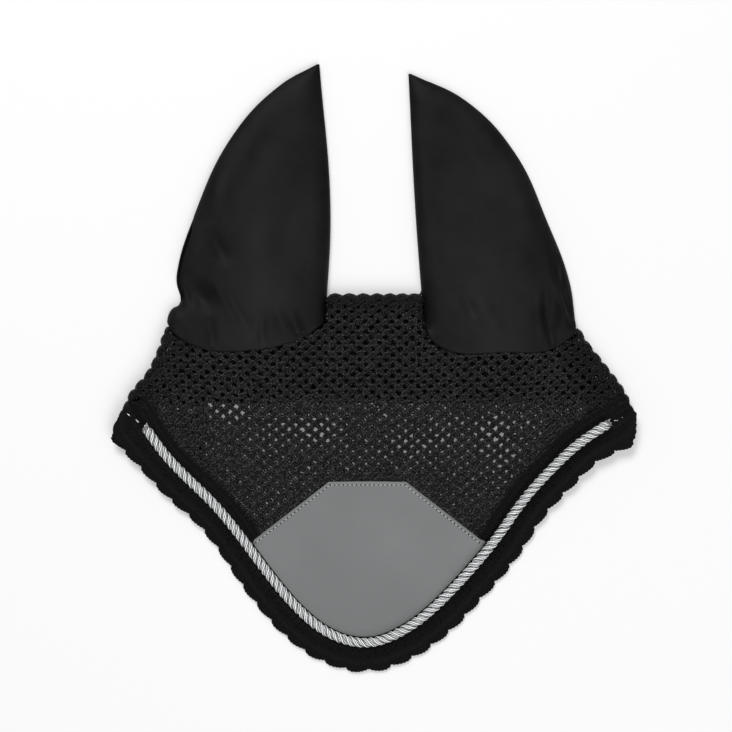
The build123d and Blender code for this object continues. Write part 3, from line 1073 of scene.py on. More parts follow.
class FLYVEIL_OT_face(bpy.types.Operator):
    """Crochets the face of the veil, from the poll down to the brow's band"""

    bl_idname = "fly_veil.face"
    bl_label = "Face Net"

    def execute(self, context):
        sizes = context.scene.fly_veil_sizes
        yarn = black_yarn()
        net = net_parts(sizes, FACE_SEED, veil_allows, steps=5, width=1.6 * MM)
        zones = zip(*[split_at_fold(lines) for lines in net])
        for (name, thick), parts in zip((("face", 0.5), ("brow_fold", 0.52), ("brow", 0.54)), zones):
            pieces = []
            for kind, lines in zip(("_net", "_loops", "_knots"), parts):
                levels = map_lines(lines, level_seen)
                placed = map_lines(lines, on_face)
                pieces.append(yarn_piece(name + kind, placed, sizes.yarn * thick, yarn, levels=levels))
            for piece in pieces:
                if name == "brow_fold":
                    fold_blend(piece)
                else:
                    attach(piece, "veil" if name == "face" else "brow")
            if name == "face":
                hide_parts("front_panel")
            if name == "brow":
                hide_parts("brow_panel")
            declare_net(parts[0], sizes)
        self.make_folds(sizes, yarn)
        return {"FINISHED"}

    def make_folds(self, sizes, yarn):
        """Close lumpy stitches round the folded edges, where the rows turn."""
        left_x = LEFT_EAR["inner"][-1][0]
        right_x = RIGHT_EAR["inner"][-1][0]
        top_y = POLL_FOLD_Y / MM
        low_y = top_y - 5
        top_edge = ((right_x, low_y), (right_x - 2, top_y), (left_x + 2, top_y), (left_x, low_y))
        lines = []
        levels = []
        runs = (smooth_line(RIGHT_SIDE)[::-1], straight_line(*top_edge), smooth_line(LEFT_SIDE))
        for number, run in enumerate(runs):
            edge = spaced(run, int(lengths_along(run)[-1] / (1.0 * MM)))
            edge = edge[np.abs(edge[:, 1] - EAR_FOLD_Y) > 4.2 * MM]
            along = lengths_along(edge)
            inward = leftward(edge)
            lump = np.abs(np.sin(pi * along / FOLD_LUMP + 0.8 * np.sin(along / (23 * MM)) + number)) ** 0.7
            below_ear = EAR_FOLD_Y + 1 * MM - edge[:, 1]
            lump *= np.where(below_ear < -5 * MM, 1, np.clip(below_ear / (9 * MM), 0, 1))
            swell = 0.8 + 0.5 * lump
            for level, (inset, height) in enumerate(((2.7, 8.6), (1.8, 6.2), (2.2, 3.6))):
                depth = (inset + 1.2 - 1.9 * lump) * MM
                line = edge + inward * depth[:, None]
                turn = 2 * pi * along / FOLD_LAY + level
                for made in braid(line, turn, 1.0 * MM * swell, 0.9 * MM * swell, 4):
                    levels.append(made[:, 2] + 0.6 * MM)
                    made[:, 2] += height * MM
                    lines.append(made)
        folds = yarn_piece("fold_stitches", lines, sizes.yarn * 0.45, yarn, levels=levels)
        declare(folds, "veil", "crochet")


class FLYVEIL_OT_poll(bpy.types.Operator):
    """Crochets the poll layer, its legs behind the brow and its finished edge"""

    bl_idname = "fly_veil.poll"
    bl_label = "Poll Net"

    def execute(self, context):
        sizes = context.scene.fly_veil_sizes
        yarn = black_yarn()
        self.make_layer("poll", poll_parts(sizes, poll_allows), sizes, yarn, "veil", "poll_panel")
        parts = poll_parts(sizes, tip_allows)
        for side, name in ((-1, "left_poll_tip"), (1, "right_poll_tip")):
            half = [[line for line in lines if side * line[:, 0].mean() > 0] for lines in parts]
            self.make_layer(name, half, sizes, yarn, "brow", name)
        self.make_edge(sizes, yarn)
        return {"FINISHED"}

    def make_layer(self, name, parts, sizes, yarn, body, node):
        """The net and the loops of one part of the poll layer."""
        chains, loops, cores = parts
        pieces = []
        for kind, lines in (("_net", chains), ("_loops", loops + cores)):
            levels = [-line[:, 2] if body == "brow" else 0 * line[:, 2] + POLL_LEVEL for line in lines]
            placed = map_lines(lines, on_poll)
            pieces.append(yarn_piece(name + kind, placed, sizes.yarn * 0.56, yarn, levels=levels))
        net, over = pieces
        declare(net, body, "crochet", node)
        declare(over, body, "crochet")
        declare_net(chains, sizes)

    def make_edge(self, sizes, yarn):
        """Rows of close chain along the poll layer's free edge."""
        lines = []
        x = np.linspace(-POLL_LEG_X, POLL_LEG_X, int(2 * POLL_LEG_X / (0.8 * MM)))
        top = POLL_EDGE_Y - 0.5 * MM
        rows = 3
        for row in range(rows):
            y = top - (row + 0.5) * (POLL_EDGE_Y - BROW_FOLD_Y - 0.5 * MM) / rows
            line = np.column_stack([x, y + 0.25 * MM * np.sin(x / (9 * MM) + row)])
            lines += braid(line, 2 * pi * x / POLL_LAY + row, 1.0 * MM, 0.5 * MM)
        edge = yarn_piece("poll_edge_chain", map_lines(lines, on_poll), sizes.yarn * 0.5, yarn)
        declare(edge, "veil", "crochet", "poll_edging")


# --- Band and scalloped edge --------------------------------------------------


def between(far, share_along, share_across):
    """Places from the seam to a rail beside it: a share of the way along, and a share of the way across."""
    index = np.clip(share_along, 0, 1) * (len(SEAM_RAIL) - 1)
    steps = np.arange(len(SEAM_RAIL))
    inner = np.stack([np.interp(index, steps, SEAM_RAIL[:, k]) for k in range(2)], axis=1)
    outer = np.stack([np.interp(index, steps, far[:, k]) for k in range(2)], axis=1)
    return inner + (outer - inner) * np.asarray(share_across)[:, None]


def even_shares(far, pitch, across=0.5):
    """Shares along the seam that are evenly spaced part of the way to a rail, and the length there."""
    shares = np.linspace(0, 1, 1200)
    along = lengths_along(between(far, shares, np.full(len(shares), across)))
    count = max(2, int(along[-1] / pitch))
    return np.interp(np.linspace(0, along[-1], count), along, shares), along[-1]


def on_brow(flat):
    """Points of the brow layer: x, y and height above its middle become a place on the veil."""
    placed = np.array(flat, float)
    placed[:, 2] += brow_height(placed[:, 1]) + YARN_MID
    return placed


def in_band(flat):
    """Points of the band, which the patch flattens where it covers them."""
    placed = np.array(flat, float)
    low = np.maximum(placed[:, 2] * 0.4 - 0.45 * MM, -0.4 * MM)
    placed[:, 2] = np.where(patch_gap(placed) < 0, low, placed[:, 2])
    return on_brow(placed)


def post(far, share_from, share_to, low, high, steps, seed):
    """An upright stitch between the seam and a rail: two yarns that twist round each other."""
    t = np.linspace(0, 1, steps)
    line = between(far, share_from + (share_to - share_from) * t, low + (high - low) * t)
    across = leftward(line)
    arch = 0.7 * MM * np.sin(pi * t) ** 0.6
    yarns = []
    for k in range(2):
        turn = 2 * pi * t * 1.3 + pi * k + seed
        flat = line + across * (0.52 * MM * np.sin(turn))[:, None]
        yarns.append(np.column_stack([flat, 0.45 * MM * np.cos(turn) + arch]))
    return yarns


def lifted(yarns, lift):
    """Yarns moved up: by one height, or by a height at each of their points."""
    for yarn in yarns:
        yarn[:, 2] += lift
    return yarns


class FLYVEIL_OT_trim(bpy.types.Operator):
    """Crochets the close band inside the cord and the scalloped edge outside it"""

    bl_idname = "fly_veil.trim"
    bl_label = "Band and Scalloped Edge"

    def execute(self, context):
        sizes = context.scene.fly_veil_sizes
        yarn = trim_yarn()
        self.make_band(sizes, yarn)
        self.make_edge(sizes, yarn)
        return {"FINISHED"}

    def padding(self, name, far, rows, high, placer, yarn):
        """Plain cords that the stitches are worked over, and finer ones that keep light out between them."""
        shares, _ = even_shares(far, 2.5 * MM)
        across = np.linspace(0.0, high, rows)
        finer = across[1:] - across[1] / 2
        pieces = []
        for kind, places, radius in (("_padding", across, PADDING_CORD), ("_filling", finer, FILLING_CORD)):
            flat = [between(far, shares, np.full(len(shares), place)) for place in places]
            lines = [raised(line, -PADDING_DROP) for line in flat]
            pieces.append(yarn_piece(name + kind, map_lines(lines, placer), radius, yarn))
        return pieces

    def finish_piece(self, piece, length, width, others, node):
        """Ties a strip of the trim to the brow and hides the plain shape that it replaces. Its length and
        width are not used.
        """
        for part in [piece] + others:
            declare(part, "brow", "trim_yarn")
        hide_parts(node)

    def make_band(self, sizes, yarn):
        """Three rows of close stitches between the cord and the net."""
        random = Random(5)
        shares, length = even_shares(BAND_RAIL, sizes.post_pitch)
        step = shares[1] - shares[0]
        posts = []
        rows = [(0.0, 0.36), (0.32, 0.7), (0.66, 1.04)]
        for row, (low, high) in enumerate(rows):
            shift = step * 0.5 * (row % 2)
            for share in shares:
                lean = random.uniform(-0.15, 0.15) * step
                seed = random.uniform(0, 2 * pi)
                posts += post(BAND_RAIL, share + shift, share + shift + lean, low, high, 5, seed)
        fine, _ = even_shares(BAND_RAIL, 0.9 * MM)
        chains = []
        for across in (0.33, 0.67, 1.0):
            line = between(BAND_RAIL, fine, across + 0.02 * np.sin(np.arange(len(fine)) * 0.9))
            yarns = braid(line, 2 * pi * lengths_along(line) / BAND_LAY, 0.65 * MM, 0.5 * MM)
            chains += lifted(yarns, 0.35 * MM)
        stitches = yarn_piece("band_posts", map_lines(posts, in_band), BAND_YARN, yarn)
        over = yarn_piece("band_chains", map_lines(chains, in_band), BAND_CHAIN, yarn)
        base, filling = self.padding("band", BAND_RAIL, 5, 0.98, in_band, yarn)
        self.finish_piece(base, length, BAND_WIDTH, [filling, stitches, over], "trim_band")

    def make_edge(self, sizes, yarn):
        """A row of upright stitches and a row of overlapping shells outside the cord."""
        random = Random(6)
        shares, length = even_shares(OUTER_RAIL, sizes.post_pitch)
        posts = []
        for share in shares:
            lean = random.uniform(-0.2, 0.2) * (shares[1] - shares[0])
            posts += post(OUTER_RAIL, share, share + lean, 0.0, 0.5, 6, random.uniform(0, 6))
        shells, outline = self.shells(sizes, random)
        stitches = yarn_piece("edge_posts", map_lines(posts, on_brow), EDGE_YARN, yarn)
        fans = yarn_piece("edge_shells", map_lines(shells, on_brow), EDGE_YARN, yarn)
        rim = yarn_piece("edge_chain", map_lines(outline, on_brow), EDGE_CHAIN, yarn)
        base, filling = self.padding("edge", OUTER_RAIL, 7, 0.84, on_brow, yarn)
        self.finish_piece(base, length, TRIM_WIDTH, [filling, stitches, fans, rim], "edge_trim")

    def shells(self, sizes, random):
        """Fans of stitches that overlap, and the chain round their outer ends."""
        _, length = even_shares(OUTER_RAIL, sizes.post_pitch, across=0.95)
        shares, _ = even_shares(OUTER_RAIL, length / 600, across=0.95)
        along = np.linspace(0, length, len(shares))
        corner = 10 / (len(OUTER_RAIL) - 1)
        first, last = np.interp([corner, 1 - corner], shares, along)
        count = round((last - first) / sizes.shell_length)
        step = (last - first) / count
        fans = self.side_stitches(sizes, random, corner)
        rims = []
        per_shell = max(5, round(sizes.shell_length / (1.45 * MM)))
        for shell in range(count):
            start = first + shell * step
            toward_middle = start + step / 2 < length / 2
            rim = []
            for t in np.linspace(-0.05, 1.03, per_shell):
                rise = min(1.0, max(0.0, t if toward_middle else 1 - t))
                lobe = sin(pi * rise**0.62) ** 0.6
                head = start + step * t
                foot = start + step * (0.5 + (t - 0.5) * 0.72)
                from_corner = min(abs(head - first), abs(head - last))
                reach = 1.0 + (lobe - 0.82) * sizes.shell_step / TRIM_WIDTH - self.rounding(from_corner)
                share_foot = float(np.interp(foot, along, shares))
                share_head = float(np.interp(head, along, shares))
                lift = 0.45 * MM * rise
                seed = random.uniform(0, 6)
                made = post(OUTER_RAIL, share_foot, share_head, 0.46, reach - 0.03, 7, seed)
                fans += lifted(made, lift * np.linspace(0, 1, 7))
                rim.append((share_head, reach - 0.02, lift))
            rims += self.shell_rim(np.array(rim))
        return fans, rims

    def shell_rim(self, rim):
        """The chain round one shell: the share along, the share across and the lift of each stitch's end."""
        fine = np.linspace(0, len(rim) - 1, len(rim) * 4)
        heads, reaches, lifts = (np.interp(fine, np.arange(len(rim)), values) for values in rim.T)
        line = between(OUTER_RAIL, heads, reaches)
        knots = np.abs(np.sin(pi * lengths_along(line) / (2.4 * MM)))
        line = between(OUTER_RAIL, heads, reaches + (knots - 0.6) * 0.6 * MM / TRIM_WIDTH)
        yarns = braid(line, 2 * pi * lengths_along(line) / EDGE_LAY, 0.6 * MM, 0.45 * MM)
        return lifted(yarns, lifts + 0.1 * MM)

    def side_stitches(self, sizes, random, corner):
        """Upright stitches along the two straight ends of the edge."""
        stitches = []
        side_length = hypot(LEFT_CORNER[0] - LEFT_SIDE[-1][0], LEFT_CORNER[1] - LEFT_SIDE[-1][1]) * MM
        for low, high in ((0.0, corner), (1 - corner, 1.0)):
            for share in np.linspace(low, high, int(20 * MM / sizes.post_pitch) + 3):
                from_corner = side_length * (1 - min(share, 1 - share) / corner)
                reach = 0.95 - self.rounding(from_corner) + random.uniform(-0.02, 0.02)
                stitches += post(OUTER_RAIL, share, share, 0.46, reach, 7, random.uniform(0, 6))
        return stitches

    def rounding(self, from_corner):
        """How much shorter the stitches are near a corner of the edge, as a share of its width."""
        return 0.11 * max(0.0, 1 - from_corner / (6 * MM)) ** 1.5


# --- Ears ---------------------------------------------------------------------


def ear_edges(ear):
    """An ear's outer edge and inner edge, from the foot to the tip, and its foot seam from outer to inner."""
    tip_x, tip_y = ear["tip"]
    side = side_of(ear)
    outer = smooth_line(ear["outer"] + [(tip_x + side * 1.6, tip_y - 0.3)])
    inner = smooth_line([(tip_x - side * 0.2, tip_y - 0.3)] + ear["inner"])[::-1]
    return outer, inner, foot_line(ear)


def side_of(ear):
    """1 for the ear on the right, -1 for the one on the left."""
    return 1 if ear["outer"][0][0] > 0 else -1


def ear_surface(ear, columns, rows, outer_inset=None):
    """Places over an ear, from its foot seam to its tip, as an array of rows and columns."""
    outer, inner, foot = ear_edges(ear)
    across = np.linspace(0, 1, columns)
    across = 0.4 * across + 0.6 * (0.5 - 0.5 * np.cos(pi * across))
    up = np.linspace(0, 1, rows)
    up = up + 0.06 * np.sin(2 * pi * up) / (2 * pi)
    left = at_length(outer, up * lengths_along(outer)[-1])
    if outer_inset is not None:
        left = left + outer_inset(left)
    right = at_length(inner, up * lengths_along(inner)[-1])
    bottom = at_length(foot, across * lengths_along(foot)[-1])
    top = left[-1] + (right[-1] - left[-1]) * across[:, None]
    u = across[None, :, None]
    v = up[:, None, None]
    lower = (1 - u) * (1 - v) * left[0] + u * (1 - v) * right[0]
    corners = lower + (1 - u) * v * left[-1] + u * v * right[-1]
    return (1 - v) * bottom[None] + v * top[None] + (1 - u) * left[:, None] + u * right[:, None] - corners


def grid_mesh(places, heights):
    """A grid laid over an array of places, as a bmesh with a pattern map in metres."""
    rows, columns = heights.shape
    shape = bmesh.new()
    bmesh.ops.create_grid(shape, x_segments=columns - 1, y_segments=rows - 1, size=0.5)
    shape.verts.ensure_lookup_table()
    pattern = shape.loops.layers.uv.new("pattern")
    order = sorted(shape.verts, key=lambda v: (round(v.co.y, 6), round(v.co.x, 6)))
    for index, vertex in enumerate(order):
        spot = divmod(index, columns)
        vertex.co = (*places[spot], heights[spot])
    for face in shape.faces:
        face.smooth = True
        for loop in face.loops:
            loop[pattern].uv = loop.vert.co.xy
    bmesh.ops.recalc_face_normals(shape, faces=shape.faces)
    if sum(face.normal.z for face in shape.faces) < 0:
        bmesh.ops.reverse_faces(shape, faces=shape.faces)
    return shape


def thick_piece(name, shape, thickness, material):
    """A sheet given its thickness, upwards from the grid."""
    bmesh.ops.translate(shape, verts=shape.verts, vec=(0, 0, thickness))
    bmesh.ops.solidify(shape, geom=list(shape.faces), thickness=thickness)
    mesh = bpy.data.meshes.new(name)
    for face in shape.faces:
        face.smooth = True
    shape.to_mesh(mesh)
    shape.free()
    return add_object(name, mesh, material)


def crease(places, start, end, width, depth):
    """A soft fold in cloth between two points in millimetres, deepest in the middle."""
    a = np.array(start, float) * MM
    b = np.array(end, float) * MM
    run = b - a
    t = ((places - a) @ run) / (run @ run)
    near = a + np.clip(t, 0, 1)[..., None] * run
    apart = np.linalg.norm(places - near, axis=-1)
    fade = np.sin(pi * np.clip(t, 0, 1)) ** 1.3
    return depth * MM * fade * np.exp(-((apart / (width * MM)) ** 2))


EAR_CREASES = {
    "left_ear": [
        ((-136, 66), (-108, 38), 8.0, -4.2),
        ((-114, 64), (-88, 22), 2.8, 1.9),
        ((-106, 56), (-82, 19), 4.2, -2.2),
        ((-113, 36), (-112, 10), 2.8, -2.4),
        ((-77, 38), (-77, 12), 2.6, -2.2),
        ((-69, 46), (-60, 22), 2.8, 1.7),
        ((-59, 42), (-48, 16), 3.6, -3.2),
        ((-115, 98), (-100, 70), 5.0, -2.4),
        ((-76, 108), (-83, 34), 11.0, 1.8),
        ((-94, 76), (-114, 140), 10.0, 1.6),
        ((-61, 56), (-50, 160), 11.0, -2.0),
        ((-92, 120), (-56, 192), 9.0, -1.8),
    ],
    "right_ear": [
        ((128, 83), (131, 55), 3.0, -3.2),
        ((131, 60), (141.5, 28), 2.2, -3.4),
        ((128, 59), (137, 28), 2.6, 1.8),
        ((122, 60), (120, 29), 2.4, -2.5),
        ((120, 40), (128, 8), 2.4, -2.5),
        ((126.5, 50), (126, 17), 4.2, -2.8),
        ((116, 56), (115, 14), 4.0, 1.8),
        ((63, 53), (72, 33), 3.2, -2.4),
        ((72, 50), (94, 14), 6.0, 1.9),
        ((98, 60), (110, 128), 10.0, 1.8),
        ((54, 56), (43, 160), 11.0, -2.0),
        ((86, 120), (52, 184), 9.0, -1.8),
    ],
}


def ear_heights(name, places, ear):
    """Height of the front cloth: low at the sewn rim, soft and full in the middle."""
    outer, inner, _ = ear_edges(ear)
    flat = places.reshape(-1, 2)
    gaps = []
    for side, last in ((outer, 0), (inner, -1)):
        gap = np.sqrt(((flat[:, None] - spaced(side, 360)[None]) ** 2).sum(2)).min(1)
        gap = gap.reshape(places.shape[:2])
        gap[:, last] = 0
        gaps.append(gap)
    full = TOP_Z - CLOTH - 0.3 * MM
    upward = np.clip((places[..., 1] - EAR_FOLD_Y) / (ear["tip"][1] * MM - EAR_FOLD_Y), 0, 1)
    crest = full - (full - RIM_Z) * 0.35 * upward**2
    slope = (13 + 7 * upward) * MM
    rise = np.ones(upward.shape)
    for gap in gaps:
        rise *= np.sqrt(np.clip(1 - (1 - np.clip(gap / slope, 0, 1)) ** 2, 0, 1))
    heights = RIM_Z * 0.8 + (crest - RIM_Z * 0.8) * rise
    gap = np.minimum(*gaps)
    settle = np.clip(gap / (8 * MM), 0, 1)
    for start, end, width, depth in EAR_CREASES[name]:
        heights += settle * crease(places, start, end, width, depth)
    soft = unevenness(places, 28, 20, len(name)) * 1.3
    pucker = unevenness(places, 110, 90, 7.0) * 0.3
    near_rim = np.maximum(0.0, 1 - gap / (16 * MM))
    return heights + settle * (soft + pucker * near_rim) * MM


class FLYVEIL_OT_ears(bpy.types.Operator):
    """Sews the two cloth ear covers, each of two sheets joined round a rim"""

    bl_idname = "fly_veil.ears"
    bl_label = "Ear Covers"

    def execute(self, context):
        colour = tuple(context.scene.fly_veil_colours.ear)
        cloth = kept_material("ear_jersey", ear_cloth_material, colour)
        for name, ear in (("left_ear", LEFT_EAR), ("right_ear", RIGHT_EAR)):
            self.make_cover(name, ear, cloth)
        return {"FINISHED"}

    def make_cover(self, name, ear, cloth):
        """The front and back sheets of one ear, its rim and the seam under its foot."""
        side = side_of(ear)

        def drawn_in(line):
            y = line[:, 1]
            share = np.clip((y - 44 * MM) / (8 * MM), 0, 1) * np.clip((106 * MM - y) / (14 * MM), 0, 1)
            return raised(-side * share[:, None] * (3.6 if side < 0 else 0.0) * MM, 0.0)

        front_places = ear_surface(ear, columns=76, rows=120, outer_inset=drawn_in)
        front_heights = ear_heights(name, front_places, ear)
        back_places = ear_surface(ear, columns=40, rows=64)
        back_heights = np.full(back_places.shape[:2], 0.1 * MM)
        outer, inner, foot = ear_edges(ear)
        for kind, places, heights, nodes in (
            ("_front_cloth", front_places, front_heights, (name + "_front", name + "_collar")),
            ("_back_cloth", back_places, back_heights, (name + "_back",)),
        ):
            piece = thick_piece(name + kind, grid_mesh(places, heights), CLOTH_SHEET, cloth)
            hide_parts(*nodes)
            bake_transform(piece)
        self.make_rim(name, outer, inner, cloth)
        self.make_seam(name, foot, cloth)

    def flat_area(self, outline):
        """Area inside an ear's outline."""
        x, y = outline.T
        return abs(float((x * np.roll(y, -1) - np.roll(x, -1) * y).sum() / 2))

    def make_rim(self, name, outer, inner, cloth):
        """The rolled seam that joins the two sheets."""
        up, down = (line[line[:, 1] > EAR_FOLD_Y + 0.4 * MM] for line in (outer, inner[::-1]))
        line = spaced(np.concatenate([up, down[1:]]), 220)
        across = leftward(line)
        sign = 1 if ((line.mean(0) - line[0]) @ across[0]) > 0 else -1
        path = raised(line + across * sign * 0.9 * MM, CLOTH + (RIM_Z - CLOTH) * 0.5)
        rim = yarn_piece(name + "_rim", [path], RIM_ROLL, cloth, ring=2)
        declare(rim, name, "ear_thread", name + "_edging")

    def make_seam(self, name, foot, cloth):
        """The seam under the foot, where the cloth is sewn to the crochet."""
        line = spaced(foot, 160)[4:-4]
        across = leftward(line)
        sign = 1 if across[len(line) // 2, 1] > 0 else -1
        paths = []
        for inset in (1.0, 2.4):
            moved = line + across * sign * inset * MM
            paths.append(raised(moved[moved[:, 1] < EAR_FOLD_Y - 0.6 * MM], FACE_Z + 0.95 * MM))
        seam = yarn_piece(name + "_foot_seam", paths, SEAM_ROLL, cloth)
        declare(seam, "veil", "ear_thread", name + "_seam")


# --- Cord ---------------------------------------------------------------------


def cord_line():
    """The cord's centre line, read from a smooth curve guided by its route."""
    curve = bpy.data.curves.new("cord_route", "CURVE")
    curve.dimensions = "3D"
    curve.resolution_u = 40
    spline = curve.splines.new("NURBS")
    spline.points.add(len(CORD_ROUTE) - 1)
    for knot, (x, y) in zip(spline.points, CORD_ROUTE):
        height = float(brow_height(y * MM)) + CROCHET + CORD_LIFT
        knot.co = (x * MM, y * MM, height, 1)
    spline.order_u = 3
    spline.use_endpoint_u = True
    return read_curve(curve)


def frames_along(line):
    """Side and upward directions at each point of a line that lies nearly flat."""
    ahead = directions(line)
    side = np.cross(np.tile([0.0, 0.0, 1.0], (len(line), 1)), ahead)
    side /= np.linalg.norm(side, axis=1)[:, None]
    return side, np.cross(ahead, side)


def wound(line, frames, reach, turn):
    """A line that winds round another one at a distance."""
    side, up = frames
    return line + side * (reach * np.cos(turn))[:, None] + up * (reach * np.sin(turn))[:, None]


class FLYVEIL_OT_cord(bpy.types.Operator):
    """Lays the twisted silver cord, with the thin tails at its ends"""

    bl_idname = "fly_veil.cord"
    bl_label = "Twisted Cord"

    def execute(self, context):
        sizes = context.scene.fly_veil_sizes
        colour = tuple(context.scene.fly_veil_colours.cord)
        silver = kept_material("cord_thread", cord_material, colour)
        route = cord_line()
        total = lengths_along(route)[-1]
        count = int(total / (0.8 * MM))
        line = spaced(route, count)
        along = np.linspace(0, total, count)
        frames = frames_along(line)
        taper = self.taper(along, total)
        swell = np.clip(0.35 + 0.65 * taper, 0, 1)
        for strand in range(3):
            turn = 2 * pi * along / sizes.cord_lay + 2 * pi * strand / 3
            centre = wound(line, frames, (CORD_RADIUS - STRAND_RADIUS) * taper, turn)
            lines = []
            for ply in range(sizes.cord_plies):
                spin = turn + 2 * pi * along / (sizes.cord_lay * 5) + 2 * pi * ply / sizes.cord_plies
                lines.append(wound(centre, frames, (STRAND_RADIUS - PLY_RADIUS) * taper, spin))
            tapers = [swell] * len(lines)
            middles = [centre] * len(lines)
            name = "cord_strand_%d" % (strand + 1)
            piece = yarn_piece(name, lines, PLY_RADIUS, silver, tapers=tapers, middles=middles)
            declare(piece, "brow", "cord")
        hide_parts("silver_cord")
        self.make_tails(route, silver)
        return {"FINISHED"}

    def taper(self, along, total):
        """How full the cord is along its length: it narrows a little at its two ends, where it was cut."""
        start = np.clip(along / (2 * MM), 0.6, 1)
        end = np.clip((total - along) / (2 * MM), 0.6, 1)
        return np.minimum(start, end) ** 0.5

    def make_tails(self, route, silver):
        """Thin silver threads that run from the cord's ends into the edge."""
        low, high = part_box("cord_tails")
        height = (low.z + high.z) / 2
        lines = []
        random = Random(9)
        t = np.linspace(0, 1, 24)[:, None]
        for end, tail, sink in ((route[0], LEFT_TAIL, 0.0), (route[-1], RIGHT_TAIL, 0.5 * MM)):
            target = np.array([tail[0] * MM, tail[1] * MM, height])
            for k in range(2):
                stray = np.array([random.uniform(-1, 1), random.uniform(-1, 1), 0])
                bend = np.sin(pi * t) * stray * 0.9 * MM
                path = end + (target + stray * 0.6 * MM - end) * t + bend
                dip = np.cos(np.linspace(0.4, 4.3 * pi, 24) + k * 0.3)
                surface = brow_height(path[:, 1]) + CROCHET - 1.0 * MM - sink
                path[:, 2] = surface + dip * 1.1 * MM + np.maximum(0, 1 - t[:, 0] * 6) * 1.2 * MM
                lines.append(path)
            lines += self.frayed(end, target, random)
        # middles set a little below each tail, so that the cord's painted light and shade fall on it: paler
        # on top, darker below
        middles = [path - np.array([0, 0, CORD_RADIUS * 0.4]) for path in lines]
        tails = yarn_piece("cord_tail_threads", lines, TAIL_THREAD, silver, middles=middles)
        declare(tails, "brow", "cord", "cord_tails")

    def frayed(self, end, target, random):
        """Loose threads where the cord was cut."""
        ahead = (target - end) / np.linalg.norm(target - end)
        side = np.array([-ahead[1], ahead[0], 0.0])
        lines = []
        t = np.linspace(0, 1, 7)[:, None]
        for _ in range(9):
            spread = random.uniform(-1, 1)
            reach = random.uniform(1.8, 2.9) * MM
            path = end - ahead * 1.5 * MM + ahead * reach * t + side * spread * (1.6 + 1.4 * t**2) * MM
            lift = random.uniform(-1.4, 1.6) * (1 - abs(spread) * 0.6)
            path[:, 2] += (lift * (1 - 0.9 * t[:, 0] ** 2) - 1.5 * t[:, 0] ** 2) * MM
            lines.append(path)
        return lines


# --- Patch --------------------------------------------------------------------


def patch_bottom():
    """The patch's lower edge, just inside the cord."""
    inner = cord_line()[:, :2]
    edge = inner + leftward(inner) * (CORD_RADIUS + 0.2 * MM)
    return edge[edge[:, 1] < (PATCH_CORNER_Y - 0.5) * MM]


def patch_sides(y, bottom):
    """Where the patch's left and right edges lie at each y, given its lower edge."""
    low = bottom[:, 1].argmin()
    corner = PATCH_CORNER_Y * MM
    t = np.clip((PATCH_TOP_Y * MM - y) / (PATCH_TOP_Y * MM - corner), 0, 1)
    sides = []
    for top_x, corner_x, curve in zip(PATCH_TOP, PATCH_CORNER, (bottom[low::-1], bottom[low:])):
        slanted = (top_x + (corner_x - top_x) * t) * MM
        sides.append(np.where(y < corner, np.interp(y, curve[:, 1], curve[:, 0]), slanted))
    return sides


def stitch_line():
    """The line of stitches inside the patch's top and slanted edges."""
    inset = bpy.context.scene.fly_veil_sizes.stitch_inset / MM
    rise = PATCH_TOP_Y - PATCH_CORNER_Y
    run = abs(PATCH_CORNER[0] - PATCH_TOP[0])
    slope = hypot(run, rise)
    sideways = inset * rise / slope
    down = inset * run / slope
    top_shift = sideways - (inset - down) / (rise / run)
    low_shift = sideways + 1.2
    low_y = PATCH_CORNER_Y - down + 1.2 * 0.78
    top_y = PATCH_TOP_Y - inset
    points = [(PATCH_CORNER[0] + low_shift, low_y), (PATCH_TOP[0] + top_shift, top_y)]
    points += [(PATCH_TOP[1] - top_shift, top_y), (PATCH_CORNER[1] - low_shift, low_y)]
    return np.array(points) * MM


def stitches():
    """The stitches on the patch and the needle holes between them: lists of (middle, direction)."""
    sizes = bpy.context.scene.fly_veil_sizes
    corners = stitch_line()
    found = []
    holes = []
    for start, end in zip(corners, corners[1:]):
        length = np.linalg.norm(end - start)
        count = max(1, round(length / sizes.stitch_pitch))
        ahead = (end - start) / length
        for k in range(count):
            found.append((start + ahead * (k + 0.5) * length / count, ahead))
            holes.append((start + ahead * k * length / count, ahead))
        holes.append((end, ahead))
    return found, holes


